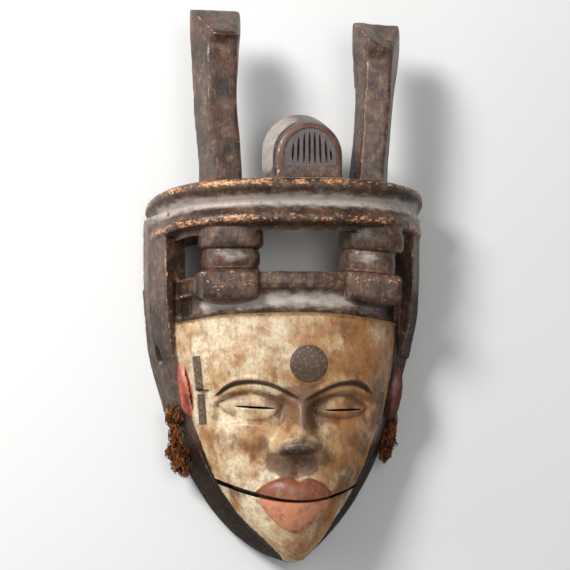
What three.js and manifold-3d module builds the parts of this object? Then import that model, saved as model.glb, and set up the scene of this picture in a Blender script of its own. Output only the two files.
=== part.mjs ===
// A carved wooden mask with a hinged lower jaw, lying on the flat rim of its back.
// +X is the picture's right, +Y runs from the chin to the tips of the posts, +Z comes out of the face.
// The block is drawn in its own design places, and the last lines seat it on the origin.
import * as THREE from 'three';
import { mergeVertices } from 'three/addons/utils/BufferGeometryUtils.js';
import Module from 'manifold-3d';

const wasm = await Module();
wasm.setup();

// Driving dimensions, in millimetres
const CENTRE = 0.5; // the face outline's middle, across
const RIM = { half: 123.5, foot: -241.5, span: 287, curve: 2.1, power: 0.52 };
const EDGE = { half: 95, foot: -238, span: 206.5, curve: 2.0, power: 0.74, least: 4, height: 52, drop: 9 };
const WALL = { side: 10, front: 12, chin: 12, ceiling: 12 };
const CROWN_LEAN = 0.175; // how far the crown drops for each millimetre further back
const CROWN_FRONT = 118; // depth at which the crown's heights are measured
const BAND_TOP = 15.5;
const HAIRLINE = -21;
const HINGE = { y: -150, z: 24, round: 23, heel: 4, hole: 4.2, closes: -1.5, opens: 8 };
const SPLIT = { low: -183.6, bow: 0.0028, skew: -0.04, reach: 62, gap: 2.6 };
const ARM_GAP = 1.3;
const TIE_GAP = { body: 0.8, arm: 2.2 };
const RING = {
  half: 122, front: 118, square: 2.8, middle: 2, depth: 56, top: 91.5, steps: 22,
};
const EYES = [
  { x: -38.5, y: -104, half: 28.5, up: 13.5, down: 13, slit: [-50, -17] },
  { x: 39.5, y: -105.5, half: 25, up: 13.5, down: 11, slit: [27, 58] },
];
const SLIT_WIDTH = 1.5;
const HEEL = { top: 18, off: 1.5, climb: 0.15 }; // the jaw's back edge, lifted off what the mask lies on
const FAR = 300; // past the whole mask, for what cuts right through it
const BELOW = 30; // past its back
const DISC = { x: 9.4, y: -64.7, radius: 16.6, proud: 1.4 };

const WOOD = { color: 0x5b4d42, roughness: 0.6, metalness: 0 };
const KAOLIN = { color: 0xd8bb93, roughness: 0.7, metalness: 0 };
const FIBRE = { color: 0x7a4726, roughness: 0.95, metalness: 0 };

// Curves and small hills
const rise = (from, to, at) => THREE.MathUtils.smoothstep(at, from, to);
const hill = (distance, reach) => Math.exp(-((distance / reach) ** 2));

function curveThrough(stations) {
  const slope = stations.map((_, i) => {
    const before = stations[Math.max(i - 1, 0)];
    const after = stations[Math.min(i + 1, stations.length - 1)];
    return (after[1] - before[1]) / (after[0] - before[0]);
  });
  return (at) => {
    const last = stations.length - 1;
    if (at <= stations[0][0]) return stations[0][1];
    if (at >= stations[last][0]) return stations[last][1];
    const i = stations.findIndex((station) => station[0] > at) - 1;
    const [x0, y0] = stations[i];
    const [x1, y1] = stations[i + 1];
    const width = x1 - x0;
    const t = (at - x0) / width;
    const leaving = slope[i] * width - (y1 - y0);
    const arriving = y1 - y0 - slope[i + 1] * width;
    return y0 + t * (y1 - y0) + (1 - t) * t * ((1 - t) * leaving + t * arriving);
  };
}

// The two outlines of the carving, seen from the front: the back rim and the edge of the face
function outline(shape, y) {
  const t = THREE.MathUtils.clamp((y - shape.foot) / shape.span, 0, 1);
  return shape.half * (1 - (1 - t) ** shape.curve) ** shape.power;
}
const rimHalf = (y) => outline(RIM, y);
const edgeHalf = (y) => Math.min(Math.max(outline(EDGE, y), EDGE.least), rimHalf(y) - 1);
const edgeHeight = (y) => EDGE.height - EDGE.drop * (1 - rise(RIM.foot, RIM.foot + 8, y));

// The face: a rounded front with brows, lidded eyes, a broad nose and full lips
const crest = curveThrough([
  [-241.5, 44], [-239, 53], [-236, 63], [-230, 74], [-221, 82], [-205, 88], [-165, 93], [-135, 94],
  [-105, 94], [-90, 98], [-65, 103], [-24, 99], [16, 97],
]);
const midline = curveThrough([[-236, 1], [-183, 0], [-128, 0], [-97, 4], [-62, 8], [-24, 7]]);
const noseHeight = curveThrough([
  [-150, 0], [-145, 1.5], [-140, 11], [-132, 20], [-124, 19], [-108, 11], [-94, 4], [-80, 0],
]);
const noseHalf = curveThrough([[-145, 17], [-132, 15], [-110, 10], [-92, 9]]);
const splitY = (x) => {
  const across = THREE.MathUtils.clamp(x, -SPLIT.reach, SPLIT.reach);
  return SPLIT.low + SPLIT.bow * across ** 2 + SPLIT.skew * across;
};

function block(x, y) {
  const s = Math.min(Math.abs((x - CENTRE) / edgeHalf(y)), 1);
  const round = Math.max(crest(y) - edgeHeight(y), 0);
  return edgeHeight(y) + round * (1 - s ** 2.4) ** 0.75;
}

function browAndSocket(x, y) {
  const across = Math.abs(x - midline(y));
  const browY = -80.5 - 13.5 * ((across - 38) / 29) ** 2;
  const beside = 1 - rise(60, 76, across);
  const socket = rise(-1, 4, browY - y) * rise(-129, -114, y) * beside * rise(5, 15, across);
  return 1.6 * hill(y - browY - 3, 6) * beside - 7 * socket;
}

function eyeball(x, y) {
  let height = 0;
  for (const eye of EYES) {
    const along = 1 - ((x - eye.x) / eye.half) ** 2;
    if (along <= 0) continue;
    const away = Math.abs(y - eye.y) / ((y > eye.y ? eye.up : eye.down) * along);
    if (away < 1) height = 6 * along ** 0.5 * (1 - away ** 2) ** 0.6;
  }
  return height;
}

function nose(x, y) {
  const across = x - midline(y);
  const ridge = noseHeight(y) * Math.exp(-(Math.abs(across / noseHalf(y)) ** 2.6));
  const wings = 7 * (hill(across - 15, 8) + hill(across + 15, 8)) * hill(y + 135, 7);
  return ridge + wings;
}

function lips(x, y) {
  const across = x - midline(y);
  const along = 1 - (across / 34) ** 2;
  const muzzle = 6 * hill(across, 46) * hill(y + 184, 32);
  if (along <= 0) return muzzle;
  const split = splitY(x);
  const upperEdge = Math.max(-177 + 15 * along - 3 * hill(across, 6), split + 0.5);
  const lowerEdge = Math.min(-186 - 23.5 * along ** 0.8, split - 0.5);
  const away = y > split ? (y - split) / (upperEdge - split) : (split - y) / (split - lowerEdge);
  return muzzle + (away < 1 ? 9 * along ** 0.5 * (1 - away ** 2) ** 0.55 : 0);
}

// The brow band above the hairline is a shallow cove under a dark rim
const cove = curveThrough([[-23, 0], [-20.5, -3], [-8, -6], [1, -4.5], [5, -0.5], [16, 0]]);

function faceHeight(x, y) {
  const carved = browAndSocket(x, y) + eyeball(x, y) + nose(x, y) + lips(x, y);
  const inward = 1 - Math.min(Math.abs((x - CENTRE) / edgeHalf(y)), 1) ** 8;
  return block(x, y) + (y > HAIRLINE - 2 ? cove(y) : carved * inward);
}

// The crown leans back: what lies deeper sits lower
const lean = (y, z) => CROWN_LEAN * rise(-110, HAIRLINE, y) * (CROWN_FRONT - z);

// Solids
function closedMesh(positions, faces) {
  const geometry = new THREE.BufferGeometry();
  geometry.setAttribute('position', new THREE.Float32BufferAttribute(positions.flatMap((p) => [...p]), 3));
  geometry.setIndex(faces.flat());
  return geometry;
}

function loft(rings, flat) {
  const count = rings[0].length;
  const faces = [];
  for (let row = 0; row + 1 < rings.length; row += 1) {
    for (let i = 0; i < count; i += 1) {
      const a = row * count + i;
      const b = row * count + ((i + 1) % count);
      faces.push([a, b, b + count], [a, b + count, a + count]);
    }
  }
  const cap = (ring, first, turned) => {
    const made = THREE.ShapeUtils.triangulateShape(ring.map(flat), []);
    const follows = made.some((face) => face.some((i, k) => face[(k + 1) % 3] === i + 1));
    for (const face of made) {
      const placed = face.map((i) => first + i);
      faces.push(follows === turned ? placed : placed.reverse());
    }
  };
  cap(rings[0], 0, false);
  cap(rings.at(-1), (rings.length - 1) * count, true);
  return closedMesh(rings.flat(), faces);
}

function solid(geometry) {
  const bare = geometry.index ? geometry.clone() : geometry;
  bare.deleteAttribute('normal');
  bare.deleteAttribute('uv');
  const merged = mergeVertices(bare, 1e-4);
  const build = (indices) => new wasm.Manifold(new wasm.Mesh({
    numProp: 3,
    vertProperties: new Float32Array(merged.attributes.position.array),
    triVerts: new Uint32Array(indices),
  }));
  const indices = [...merged.index.array];
  const made = build(indices);
  return made.volume() > 0 ? made : build(indices.reverse());
}

const seenFromAbove = (p) => new THREE.Vector2(p.z, p.x);
const seenFromFront = (p) => new THREE.Vector2(p.x, p.y);
const rows = (from, to, step) => {
  const count = Math.max(1, Math.round(Math.abs(to - from) / step));
  return Array.from({ length: count }, (_, i) => from + ((to - from) * i) / count);
};

// Where the columns stand across the face: close together in the middle and at the turn of the cheeks
function spread(count) {
  const inner = Array.from({ length: 2 * count + 1 }, (_, i) => {
    const t = i / count - 1;
    return 0.86 * t * (0.72 + 0.28 * t ** 2);
  });
  return [-1, -0.98, -0.93, ...inner, 0.93, 0.98, 1];
}

// One level of the block: rim, flank, face and back again, closed along the floor or below it
function section(y, { swell = 0, wall = 0, floor = 0, front = faceHeight, columns }) {
  const rim = rimHalf(y) + swell - wall;
  const edge = Math.min(edgeHalf(y) + swell - wall * 0.9, rim - 0.5);
  const height = edgeHeight(y) - wall * 0.8 + swell * 0.3;
  const ring = [];
  const place = (x, z) => ring.push(new THREE.Vector3(CENTRE + x, y - lean(y, z), z));
  const flank = (side, t) => {
    const belly = 2.5 * Math.sin(Math.PI * t) * Math.min(1, height / EDGE.height);
    place(side * (rim + (edge - rim) * t + belly), floor + (height - floor) * t);
  };
  for (const t of [0, 1 / 3, 2 / 3]) flank(-1, t);
  const lift = front === block ? -(wall ? WALL.front : 0) + swell : swell;
  for (const s of columns) {
    const z = front(CENTRE + s * edgeHalf(y), y) + lift;
    place(s * edge, Math.abs(s) === 1 ? height : Math.max(z, height));
  }
  for (const t of [2 / 3, 1 / 3, 0]) flank(1, t);
  return ring;
}

function carvedBlock(swell = 0, fine = true) {
  const pitch = fine ? 1 : 2;
  const levels = [
    -240.9, -239.4, ...rows(-236.5, -190, 5.2 * pitch), ...rows(-190, -160, 3.8 * pitch),
    ...rows(-160, -145, 5 * pitch), ...rows(-145, -78, 4 * pitch), ...rows(-78, -25, 7 * pitch),
    -23.2, -20.8, ...rows(-16, 1, 6 * pitch), 5, BAND_TOP,
  ];
  const columns = spread(fine ? 11 : 4);
  return solid(loft(levels.map((y) => section(y, { swell, columns })), seenFromAbove));
}

function hollow() {
  const foot = RIM.foot + WALL.chin;
  const ceiling = BAND_TOP - WALL.ceiling;
  const levels = [foot, foot + 4, foot + 10, ...rows(foot + 18, ceiling, 13), ceiling];
  const shape = { wall: WALL.side, floor: -5, front: block, columns: spread(3) };
  return solid(loft(levels.map((y) => section(y, shape)), seenFromAbove));
}

// Prisms, for cutting: a shape drawn in Y and Z runs along X, one drawn in X and Y runs along Z
function prismAlongX(points, from, to) {
  const shape = new THREE.Shape(points.map(([y, z]) => new THREE.Vector2(y, z)));
  const geometry = new THREE.ExtrudeGeometry(shape, { depth: to - from, bevelEnabled: false });
  const turn = new THREE.Matrix4().set(0, 0, 1, from, 1, 0, 0, 0, 0, 1, 0, 0, 0, 0, 0, 1);
  return geometry.applyMatrix4(turn);
}

function prismAlongZ(points, from, to) {
  const shape = new THREE.Shape(points.map(([x, y]) => new THREE.Vector2(x, y)));
  return new THREE.ExtrudeGeometry(shape, { depth: to - from, bevelEnabled: false }).translate(0, 0, from);
}

// Everything below the line of the mouth, moved down by the gap
function belowMouth(gap) {
  const steps = 20;
  const points = [[-FAR, -FAR], [FAR, -FAR], [FAR, splitY(SPLIT.reach) - gap]];
  for (let i = 0; i <= steps; i += 1) {
    const x = SPLIT.reach * (1 - (2 * i) / steps);
    points.push([x, splitY(x) - gap]);
  }
  points.push([-FAR, splitY(-SPLIT.reach) - gap]);
  return solid(prismAlongZ(points, -BELOW, FAR));
}

// The room of the jaw's two arms, behind the cheeks: round at the hinge, cut back at the heel
function armRoom(gap, turn = 0) {
  const { y, z, round, heel } = HINGE;
  const reach = round + gap;
  const steps = 6;
  const points = [[-FAR, -BELOW], [y + reach - heel, -BELOW], [y + reach - heel, 0], [y + reach, z]];
  for (let i = 1; i <= steps; i += 1) {
    const angle = (i / steps) * (Math.PI / 2);
    points.push([y + reach * Math.cos(angle), z + reach * Math.sin(angle)]);
  }
  points.push([-FAR, z + reach]);
  const geometry = prismAlongX(points, -FAR, FAR);
  geometry.translate(0, -y, -z).rotateX(THREE.MathUtils.degToRad(turn)).translate(0, y, z);
  return solid(geometry);
}

function holesAcross({ y, z, hole }) {
  const bore = new THREE.CylinderGeometry(hole, hole, 2 * FAR, 12).rotateZ(Math.PI / 2);
  return solid(bore.translate(0, y, z));
}

// The jaw's back edge climbs towards the chin, so that it clears what the mask lies on
function heelRoom() {
  const top = HINGE.y + HEEL.top;
  const past = top + BELOW;
  const high = HEEL.off + HEEL.climb * (top + FAR);
  const points = [[past, -BELOW], [past, HEEL.off], [top, HEEL.off], [-FAR, high], [-FAR, -BELOW]];
  return solid(prismAlongX(points, -FAR, FAR));
}

// The moulded half ring: its profile as pairs of height and how far it stands back from the front
const ringProfile = [
  [RING.top, 8], [RING.top - 2, 3], [RING.top - 6, 0], [RING.top - 13, 2], [RING.top - 20, 7.5],
  [RING.top - 24, 6.5], [RING.top - 31, 2.2], [RING.top - 36, 1.5], [RING.top - 38, 4],
  [RING.top - 38.5, 12], [RING.top - 43.8, 14], [RING.top - 32, RING.depth], [RING.top, RING.depth],
];

function ringPoint(angle, back) {
  const bend = 2 / RING.square;
  const cos = Math.cos(angle);
  const x = (RING.half - back) * Math.sign(cos) * Math.abs(cos) ** bend;
  const z = (RING.front - back) * Math.sin(angle) ** bend;
  return [RING.middle + x, z];
}

function halfRing() {
  const sections = [];
  for (let i = 0; i <= RING.steps; i += 1) {
    const angle = Math.PI * (i / RING.steps);
    sections.push(ringProfile.map(([y, back]) => {
      const [x, z] = ringPoint(angle, back);
      return new THREE.Vector3(x, y - CROWN_LEAN * (CROWN_FRONT - z), z);
    }));
  }
  return solid(loft(sections, (p) => new THREE.Vector2(p.x, p.y)));
}

// Pillars: stacked turned shapes of rounded plan, drawn as [height, half width, shift sideways]
const PILLARS = [
  {
    x: -53, z: 73, deep: 31, tilt: 0,
    profile: [
      [60, 25], [52, 26.5], [48, 27], [38, 27], [34.5, 26], [33.5, 22.3], [31, 23], [26, 24], [20, 23.6],
      [17, 22.3], [15.5, 23, -2.5], [14, 26, -3.7], [10, 26.3, -3.7], [-7, 26.3, -3.7], [-8.8, 24.5, -3.7],
      [-10.6, 18, -3.7], [-12.4, 8, -3.7],
    ],
  },
  {
    x: 66, z: 73, deep: 31, tilt: 0.1,
    profile: [
      [60, 23, 1], [50, 25, 3], [46, 26, 3], [35, 26, 3], [32.5, 25, 2.4], [31.3, 22.6, -1.2],
      [24, 23, -1.2], [16, 22.8, -1.2], [13, 22.4, -0.6], [11.5, 23.6, 0.9], [8, 24, 0.9], [-9, 24, 0.9],
      [-11.6, 22.5, 0.9], [-13.2, 17, 0.9], [-14.6, 8, 0.9],
    ],
  },
];

const PILLAR_LEAN = 0.04; // the pillars stand straighter than the rest of the crown

function pillar({ x, z, deep, tilt, profile }) {
  const sides = 12;
  const rings = profile.map(([y, half, shift = 0]) => Array.from({ length: sides }, (_, i) => {
    const angle = ((i + 0.5) / sides) * 2 * Math.PI;
    const bend = 0.62;
    const across = shift + half * Math.sign(Math.cos(angle)) * Math.abs(Math.cos(angle)) ** bend;
    const depth = (deep + half - 28) * Math.sign(Math.sin(angle)) * Math.abs(Math.sin(angle)) ** bend;
    const leaning = CROWN_LEAN * (CROWN_FRONT - z - deep) + PILLAR_LEAN * (deep - depth) + tilt * across;
    return new THREE.Vector3(x + across, y - leaning, z + depth);
  }));
  return solid(loft(rings, seenFromAbove));
}

// The side posts between the brow band and the ring, with an arris along the front
const STRUTS = [
  [[-121.5, 0], [-119.5, 25], [-107, 58], [-89, 46], [-97, 0]],
  [[125, 0], [123, 25], [110, 58], [94, 46], [101, 0]],
];

function strut(points) {
  const levels = [[-62, 0.93, 0.8], [-22, 0.985, 0.97], [20, 1, 1], [62, 1, 1]];
  return solid(loft(levels.map(([y, narrow, shallow]) => points.map(([x, z]) => (
    new THREE.Vector3(x * narrow, y - 0.1 * (60 - z), z * shallow)
  ))), seenFromAbove));
}

// The two posts on the ring: narrower in front than behind, waisted, and spreading to an end that
// falls to the front and stands out over the front face as a lip. Each corner of an end has its own
// height, in the order back left, front left, front right and back right.
const POSTS = [
  {
    stations: [
      { y: 66, x: -59.2, back: 38.8, front: 22.9 }, { y: 94, x: -59.4, back: 38.8, front: 22.9 },
      { y: 124, x: -61.5, back: 38.8, front: 24.6 }, { y: 158, x: -64.1, back: 38.8, front: 24.6 },
      { y: 192, x: -64.2, back: 43, front: 26.6 }, { y: 203, x: -64.3, back: 44.6, front: 26 },
      { y: 209.5, x: -63.6, back: 45.6, front: 23.6, lip: 6 }, { x: -63.6, back: 46.4, front: 23.6, lip: 6 },
    ],
    turn: -6.5, end: [236.5, 211.5, 211, 236.5],
  },
  {
    stations: [
      { y: 66, x: 66.5, back: 34.5, front: 20 }, { y: 94, x: 66.8, back: 34.5, front: 20 },
      { y: 124, x: 69.3, back: 33.3, front: 20.9 }, { y: 158, x: 71.6, back: 34.3, front: 21.9 },
      { y: 180, x: 72.8, back: 38.8, front: 21.6 }, { y: 192, x: 73.2, back: 41.6, front: 21.4 },
      { x: 73.6, back: 43.6, front: 21.4, lip: 3 },
    ],
    turn: 5.2, end: [229, 212, 198.5, 226.6],
  },
];
const POST = { z: 79, deep: 29 };

function post({ stations, turn, end }) {
  const angle = THREE.MathUtils.degToRad(turn);
  const half = POST.deep / 2;
  const rings = stations.map(({ y, x, back, front, lip = 0 }) => {
    const corners = [[-back / 2, -half], [-front / 2, half + lip], [front / 2, half + lip], [back / 2, -half]];
    return corners.map(([u, v], i) => new THREE.Vector3(
      x + u * Math.cos(angle) - v * Math.sin(angle),
      y ?? end[i],
      POST.z + u * Math.sin(angle) + v * Math.cos(angle),
    ));
  });
  return solid(loft(rings, seenFromAbove));
}

// The half-round block between the posts, larger at the back, with fluting in its front
const DOME = {
  x: 8.8, front: 110, back: 62, half: 28.2, straight: 16.5, rise: 45.2, foot: 74, grow: 5,
  rim: 5.5, lip: 9.5, recess: 2.5, flutes: 7, fluteStep: 6.3, fluteWide: 3.4, fluteDeep: 3,
};

function arch(half, tall, z, x, foot = DOME.foot) {
  const ring = [new THREE.Vector3(x - half, foot, z)];
  const steps = 10;
  for (let i = 0; i <= steps; i += 1) {
    const angle = Math.PI * (1 - i / steps);
    const up = RING.top + DOME.straight + (tall - DOME.straight) * Math.sin(angle);
    ring.push(new THREE.Vector3(x + half * Math.cos(angle), up, z));
  }
  ring.push(new THREE.Vector3(x + half, foot, z));
  return ring;
}

function dome() {
  const { x, front, back, half, rise: tall, grow, rim, lip, recess } = DOME;
  const floor = RING.top + lip;
  const inside = [front - recess, front + 5];
  const levels = [
    { z: back, wider: grow, taller: grow + 5.6, x: x - 1 },
    { z: front - 2, wider: 0.2, taller: 0.2, x },
    { z: front, wider: -1.6, taller: -1.6, x },
  ];
  let made = solid(loft(
    levels.map((at) => arch(half + at.wider, tall + at.taller, at.z, at.x)),
    seenFromFront,
  ));
  const hollowed = inside.map((z) => arch(half - rim, tall - rim, z, x + 1, floor));
  made = made.subtract(solid(loft(hollowed, seenFromFront)));
  const middle = (DOME.flutes - 1) / 2;
  for (let i = 0; i < DOME.flutes; i += 1) {
    const across = i - middle;
    const top = RING.top + tall - rim - 5 - 8 * (across / middle) ** 2;
    const flute = new THREE.BoxGeometry(DOME.fluteWide, top - floor - 2, 2 * DOME.fluteDeep);
    const place = [x + 1 + across * DOME.fluteStep, (top + floor + 2) / 2, front - recess];
    made = made.subtract(solid(flute.translate(...place)));
  }
  return made;
}

// Ears: shallow lobes behind the temples with a hollowed shell
const EAR = {
  left: [-88, -88], right: [92, -93], z: 46, lobe: [8, 26, 13], shell: [5, 17, 7], out: 8, up: 2,
};

function ear(side, swell = 0) {
  const [x, y] = side < 0 ? EAR.left : EAR.right;
  const lens = (sizes, sides, at) => {
    const round = new THREE.SphereGeometry(1, sides, Math.round(sides * 0.65)).scale(...sizes);
    return solid(round.rotateY(side * 0.35).rotateZ(-side * 0.12).translate(...at));
  };
  return {
    lobe: lens(EAR.lobe.map((size) => size + swell), 12, [x, y, EAR.z]),
    shell: lens(EAR.shell, 10, [x + side * EAR.out, y, EAR.z + EAR.up]),
  };
}

function foreheadDisc() {
  const disc = new THREE.CylinderGeometry(DISC.radius - 1, DISC.radius, 8, 24).rotateX(Math.PI / 2);
  const z = faceHeight(DISC.x, DISC.y) - 4 + DISC.proud - 0.7;
  const drop = (faceHeight(DISC.x, DISC.y - 10) - faceHeight(DISC.x, DISC.y + 10)) / 20;
  return solid(disc.rotateX(Math.atan(drop)).translate(DISC.x, DISC.y, z));
}

function eyeSlits() {
  return EYES.map(({ y, slit }) => {
    const long = slit[1] - slit[0];
    const blade = new THREE.BoxGeometry(long, SLIT_WIDTH, 80);
    return solid(blade.translate((slit[0] + slit[1]) / 2, y - 1, 90));
  });
}

// Fibre lashings: a tuft at the body's hole, a bundle below it round the pin, and two stubs
const TIES = {
  left: {
    side: -1,
    tuft: [-97, -113, 33], strand: [-95, -128, 30], bundle: [-92.5, -143, 27], tip: [-86, -160, 32],
  },
  right: {
    side: 1,
    tuft: [95, -119, 33], strand: [94, -129, 31], bundle: [91, -140, 28], tip: [87, -151, 33],
  },
};
const STUB = { radius: 3, bundle: 21, tuft: 18 }; // how far each stub runs in from its lump
const TUFT_HOLE = { y: -112, z: 32, hole: 4 };

function lump([x, y, z], [a, b, c], tilt) {
  const geometry = new THREE.SphereGeometry(1, 7, 5).scale(a, b, c);
  return solid(geometry.rotateZ(tilt).translate(x, y, z));
}

function stub(side, { y, z }, x, long) {
  const geometry = new THREE.CylinderGeometry(STUB.radius, STUB.radius, long, 10).rotateZ(Math.PI / 2);
  return solid(geometry.translate(x - (side * long) / 2, y, z));
}

function fibreTie({ side, tuft, strand, bundle, tip }) {
  const clearOfArm = carvedBlock(TIE_GAP.arm, false).intersect(armRoom(1));
  return lump(tuft, [7, 11, 9], -side * 0.3)
    .add(lump(strand, [3.5, 13, 6], -side * 0.2))
    .add(lump(bundle, [7.5, 14, 10], -side * 0.35))
    .add(lump(tip, [5, 12, 6], -side * 0.4))
    .subtract(carvedBlock(TIE_GAP.body, false))
    .subtract(ear(side, TIE_GAP.body).lobe)
    .subtract(clearOfArm)
    .add(stub(side, HINGE, bundle[0], STUB.bundle))
    .add(stub(side, TUFT_HOLE, tuft[0], STUB.tuft));
}

// The pieces
function maskBody() {
  let body = carvedBlock();
  for (const points of STRUTS) body = body.add(strut(points));
  for (const made of PILLARS) body = body.add(pillar(made));
  body = body.add(foreheadDisc());
  for (const side of [-1, 1]) {
    const { lobe, shell } = ear(side);
    body = body.add(lobe).subtract(shell);
  }
  body = body.subtract(hollow()).add(halfRing()).add(dome());
  for (const made of POSTS) body = body.add(post(made));
  const floor = new THREE.BoxGeometry(500, 700, 50).translate(0, 0, -25);
  body = body.subtract(solid(floor)).subtract(belowMouth(-SPLIT.gap / 2));
  for (const turn of [HINGE.closes, 0, 4, HINGE.opens]) body = body.subtract(armRoom(ARM_GAP, turn));
  for (const slit of eyeSlits()) body = body.subtract(slit);
  return body.subtract(holesAcross(TUFT_HOLE));
}

function lowerJaw() {
  const room = belowMouth(SPLIT.gap / 2).add(armRoom(0));
  const whole = carvedBlock().subtract(hollow());
  return whole.intersect(room).subtract(heelRoom()).subtract(holesAcross(HINGE));
}

function named(name, made, material) {
  const { numProp, vertProperties, triVerts } = made.getMesh();
  const geometry = new THREE.BufferGeometry();
  const positions = new Float32Array((vertProperties.length / numProp) * 3);
  for (let i = 0; i < positions.length / 3; i += 1) {
    for (let k = 0; k < 3; k += 1) positions[3 * i + k] = vertProperties[numProp * i + k];
  }
  geometry.setAttribute('position', new THREE.BufferAttribute(positions, 3));
  geometry.setIndex(new THREE.BufferAttribute(new Uint32Array(triVerts), 1));
  geometry.computeVertexNormals();
  const mesh = new THREE.Mesh(geometry, new THREE.MeshStandardMaterial(material));
  mesh.name = name;
  return mesh;
}

const mask = new THREE.Group();
mask.add(
  named('mask_body', maskBody(), WOOD),
  named('jaw', lowerJaw(), KAOLIN),
  named('fibre_tie_left', fibreTie(TIES.left), FIBRE),
  named('fibre_tie_right', fibreTie(TIES.right), FIBRE),
);

// The origin is the middle of the underside of the whole object
const extent = new THREE.Box3().setFromObject(mask, true);
const middle = extent.getCenter(new THREE.Vector3());
mask.position.set(-middle.x, -middle.y, -extent.min.z);

export default mask;
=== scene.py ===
"""A carved wooden face mask with a hinged lower jaw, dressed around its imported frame.

The carving is drawn in millimetres in the carver's own places: X to the picture's right, Y from
the chin to the tips of the posts, Z out of the face, with the back rim at zero. Each piece is
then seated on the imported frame, in metres.
"""
import logging
import math
from dataclasses import dataclass, field
from enum import Enum
from typing import Callable, Iterable, Sequence

import bmesh
import bpy
import numpy as np
from mathutils import Matrix, Vector
from mathutils.kdtree import KDTree

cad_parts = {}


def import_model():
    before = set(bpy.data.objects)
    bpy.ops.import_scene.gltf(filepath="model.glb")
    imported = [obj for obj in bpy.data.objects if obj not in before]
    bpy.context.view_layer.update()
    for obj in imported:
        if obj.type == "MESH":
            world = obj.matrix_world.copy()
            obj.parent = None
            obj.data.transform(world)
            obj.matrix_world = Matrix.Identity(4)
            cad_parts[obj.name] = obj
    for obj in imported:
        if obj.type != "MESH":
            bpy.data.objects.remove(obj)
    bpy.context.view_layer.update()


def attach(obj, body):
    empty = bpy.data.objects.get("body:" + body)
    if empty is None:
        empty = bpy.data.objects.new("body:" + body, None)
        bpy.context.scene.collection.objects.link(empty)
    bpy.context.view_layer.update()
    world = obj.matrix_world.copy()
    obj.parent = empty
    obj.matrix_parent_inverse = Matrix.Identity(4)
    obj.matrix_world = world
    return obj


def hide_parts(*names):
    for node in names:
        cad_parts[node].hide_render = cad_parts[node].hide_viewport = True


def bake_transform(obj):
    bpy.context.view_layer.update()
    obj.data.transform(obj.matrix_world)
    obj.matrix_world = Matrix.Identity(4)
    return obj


Array = np.ndarray
Material = bpy.types.Material
Mesh = bpy.types.Mesh
Socket = bpy.types.NodeSocket
Solid = bpy.types.Object

LOG = logging.getLogger("mask")
METRE = 0.001  # one drawing millimetre in metres
SEAT = Vector((-1.281, 2.2, 0.0))  # the drawing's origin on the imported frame, in millimetres
FAR = 300.0  # past the whole mask, for what cuts right through it
BELOW = 30.0  # past its back


class Side(Enum):
    """The two sides of the mask as the picture shows them."""

    LEFT = -1
    RIGHT = 1


class Cut(Enum):
    """What one solid does to another."""

    UNITE = "UNION"
    TAKE_AWAY = "DIFFERENCE"
    KEEP_COMMON = "INTERSECT"


# Curves and small hills, on single numbers and on arrays alike


def rise(low: float, high: float, at: Array) -> Array:
    """A smooth climb from 0 at low to 1 at high.

    Args:
        low: where the climb starts.
        high: where it ends.
        at: the places asked for.

    Returns:
        The height of the climb at each place.
    """
    t = np.clip((at - low) / (high - low), 0.0, 1.0)
    return t * t * (3.0 - 2.0 * t)


def hill(distance: Array, reach: float) -> Array:
    """A round hill of height 1 that fades over its reach."""
    return np.exp(-((distance / reach) ** 2))


def share(part: Array, whole: Array) -> Array:
    """How much of the whole a part makes, from 0 to 1."""
    return np.clip(part / np.maximum(whole, 0.5), 0.0, 1.0)


class Line:
    """A smooth curve through given stations, level beyond its ends, that never overshoots them."""

    def __init__(self, *stations: tuple[float, float]) -> None:
        """Keeps the stations and their slopes.

        Args:
            stations: pairs of place and height, in rising order of place.
        """
        self.at = np.array([s[0] for s in stations], float)
        self.height = np.array([s[1] for s in stations], float)
        step = np.diff(self.height) / np.diff(self.at)
        before, after = step[:-1], step[1:]
        turns = before * after <= 0.0
        inner = np.where(turns, 0.0, 2.0 * before * after / np.where(turns, 1.0, before + after))
        self.slope = np.concatenate([step[:1], inner, step[-1:]])

    def __call__(self, at: Array) -> Array:
        """The curve's height at each place asked for."""
        at = np.clip(np.asarray(at, float), self.at[0], self.at[-1])
        i = np.clip(np.searchsorted(self.at, at, side="right") - 1, 0, len(self.at) - 2)
        width = self.at[i + 1] - self.at[i]
        t = (at - self.at[i]) / width
        climb = self.height[i + 1] - self.height[i]
        leaving = self.slope[i] * width - climb
        arriving = climb - self.slope[i + 1] * width
        return self.height[i] + t * climb + (1 - t) * t * ((1 - t) * leaving + t * arriving)


# Meshes


def read_rows(items: bpy.types.bpy_prop_collection, name: str) -> Array:
    """Three numbers of each item of a mesh, one row each."""
    rows = np.empty(len(items) * 3, np.float32)
    items.foreach_get(name, rows)
    return rows.reshape(-1, 3).astype(float)


def read_places(mesh: Mesh) -> Array:
    """The mesh's vertex places."""
    return read_rows(mesh.vertices, "co")


def read_normals(mesh: Mesh) -> Array:
    """The mesh's vertex normals."""
    return read_rows(mesh.vertex_normals, "vector")


def write_places(mesh: Mesh, places: Array) -> None:
    """Moves the mesh's vertices to the places given."""
    mesh.vertices.foreach_set("co", places.astype(np.float32).ravel())
    mesh.update()


def place_object(name: str, bm: bmesh.types.BMesh) -> Solid:
    """Turns a finished bmesh into an object of the scene and frees the bmesh."""
    bmesh.ops.recalc_face_normals(bm, faces=bm.faces)
    mesh = bpy.data.meshes.new(name)
    bm.to_mesh(mesh)
    bm.free()
    made = bpy.data.objects.new(name, mesh)
    bpy.context.scene.collection.objects.link(made)
    return made


def settle(piece: Solid) -> Solid:
    """Applies the piece's modifiers to its mesh."""
    shown = piece.evaluated_get(bpy.context.evaluated_depsgraph_get())
    mesh = bpy.data.meshes.new_from_object(shown)
    old = piece.data
    piece.modifiers.clear()
    piece.data = mesh
    bpy.data.meshes.remove(old)
    return piece


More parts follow.
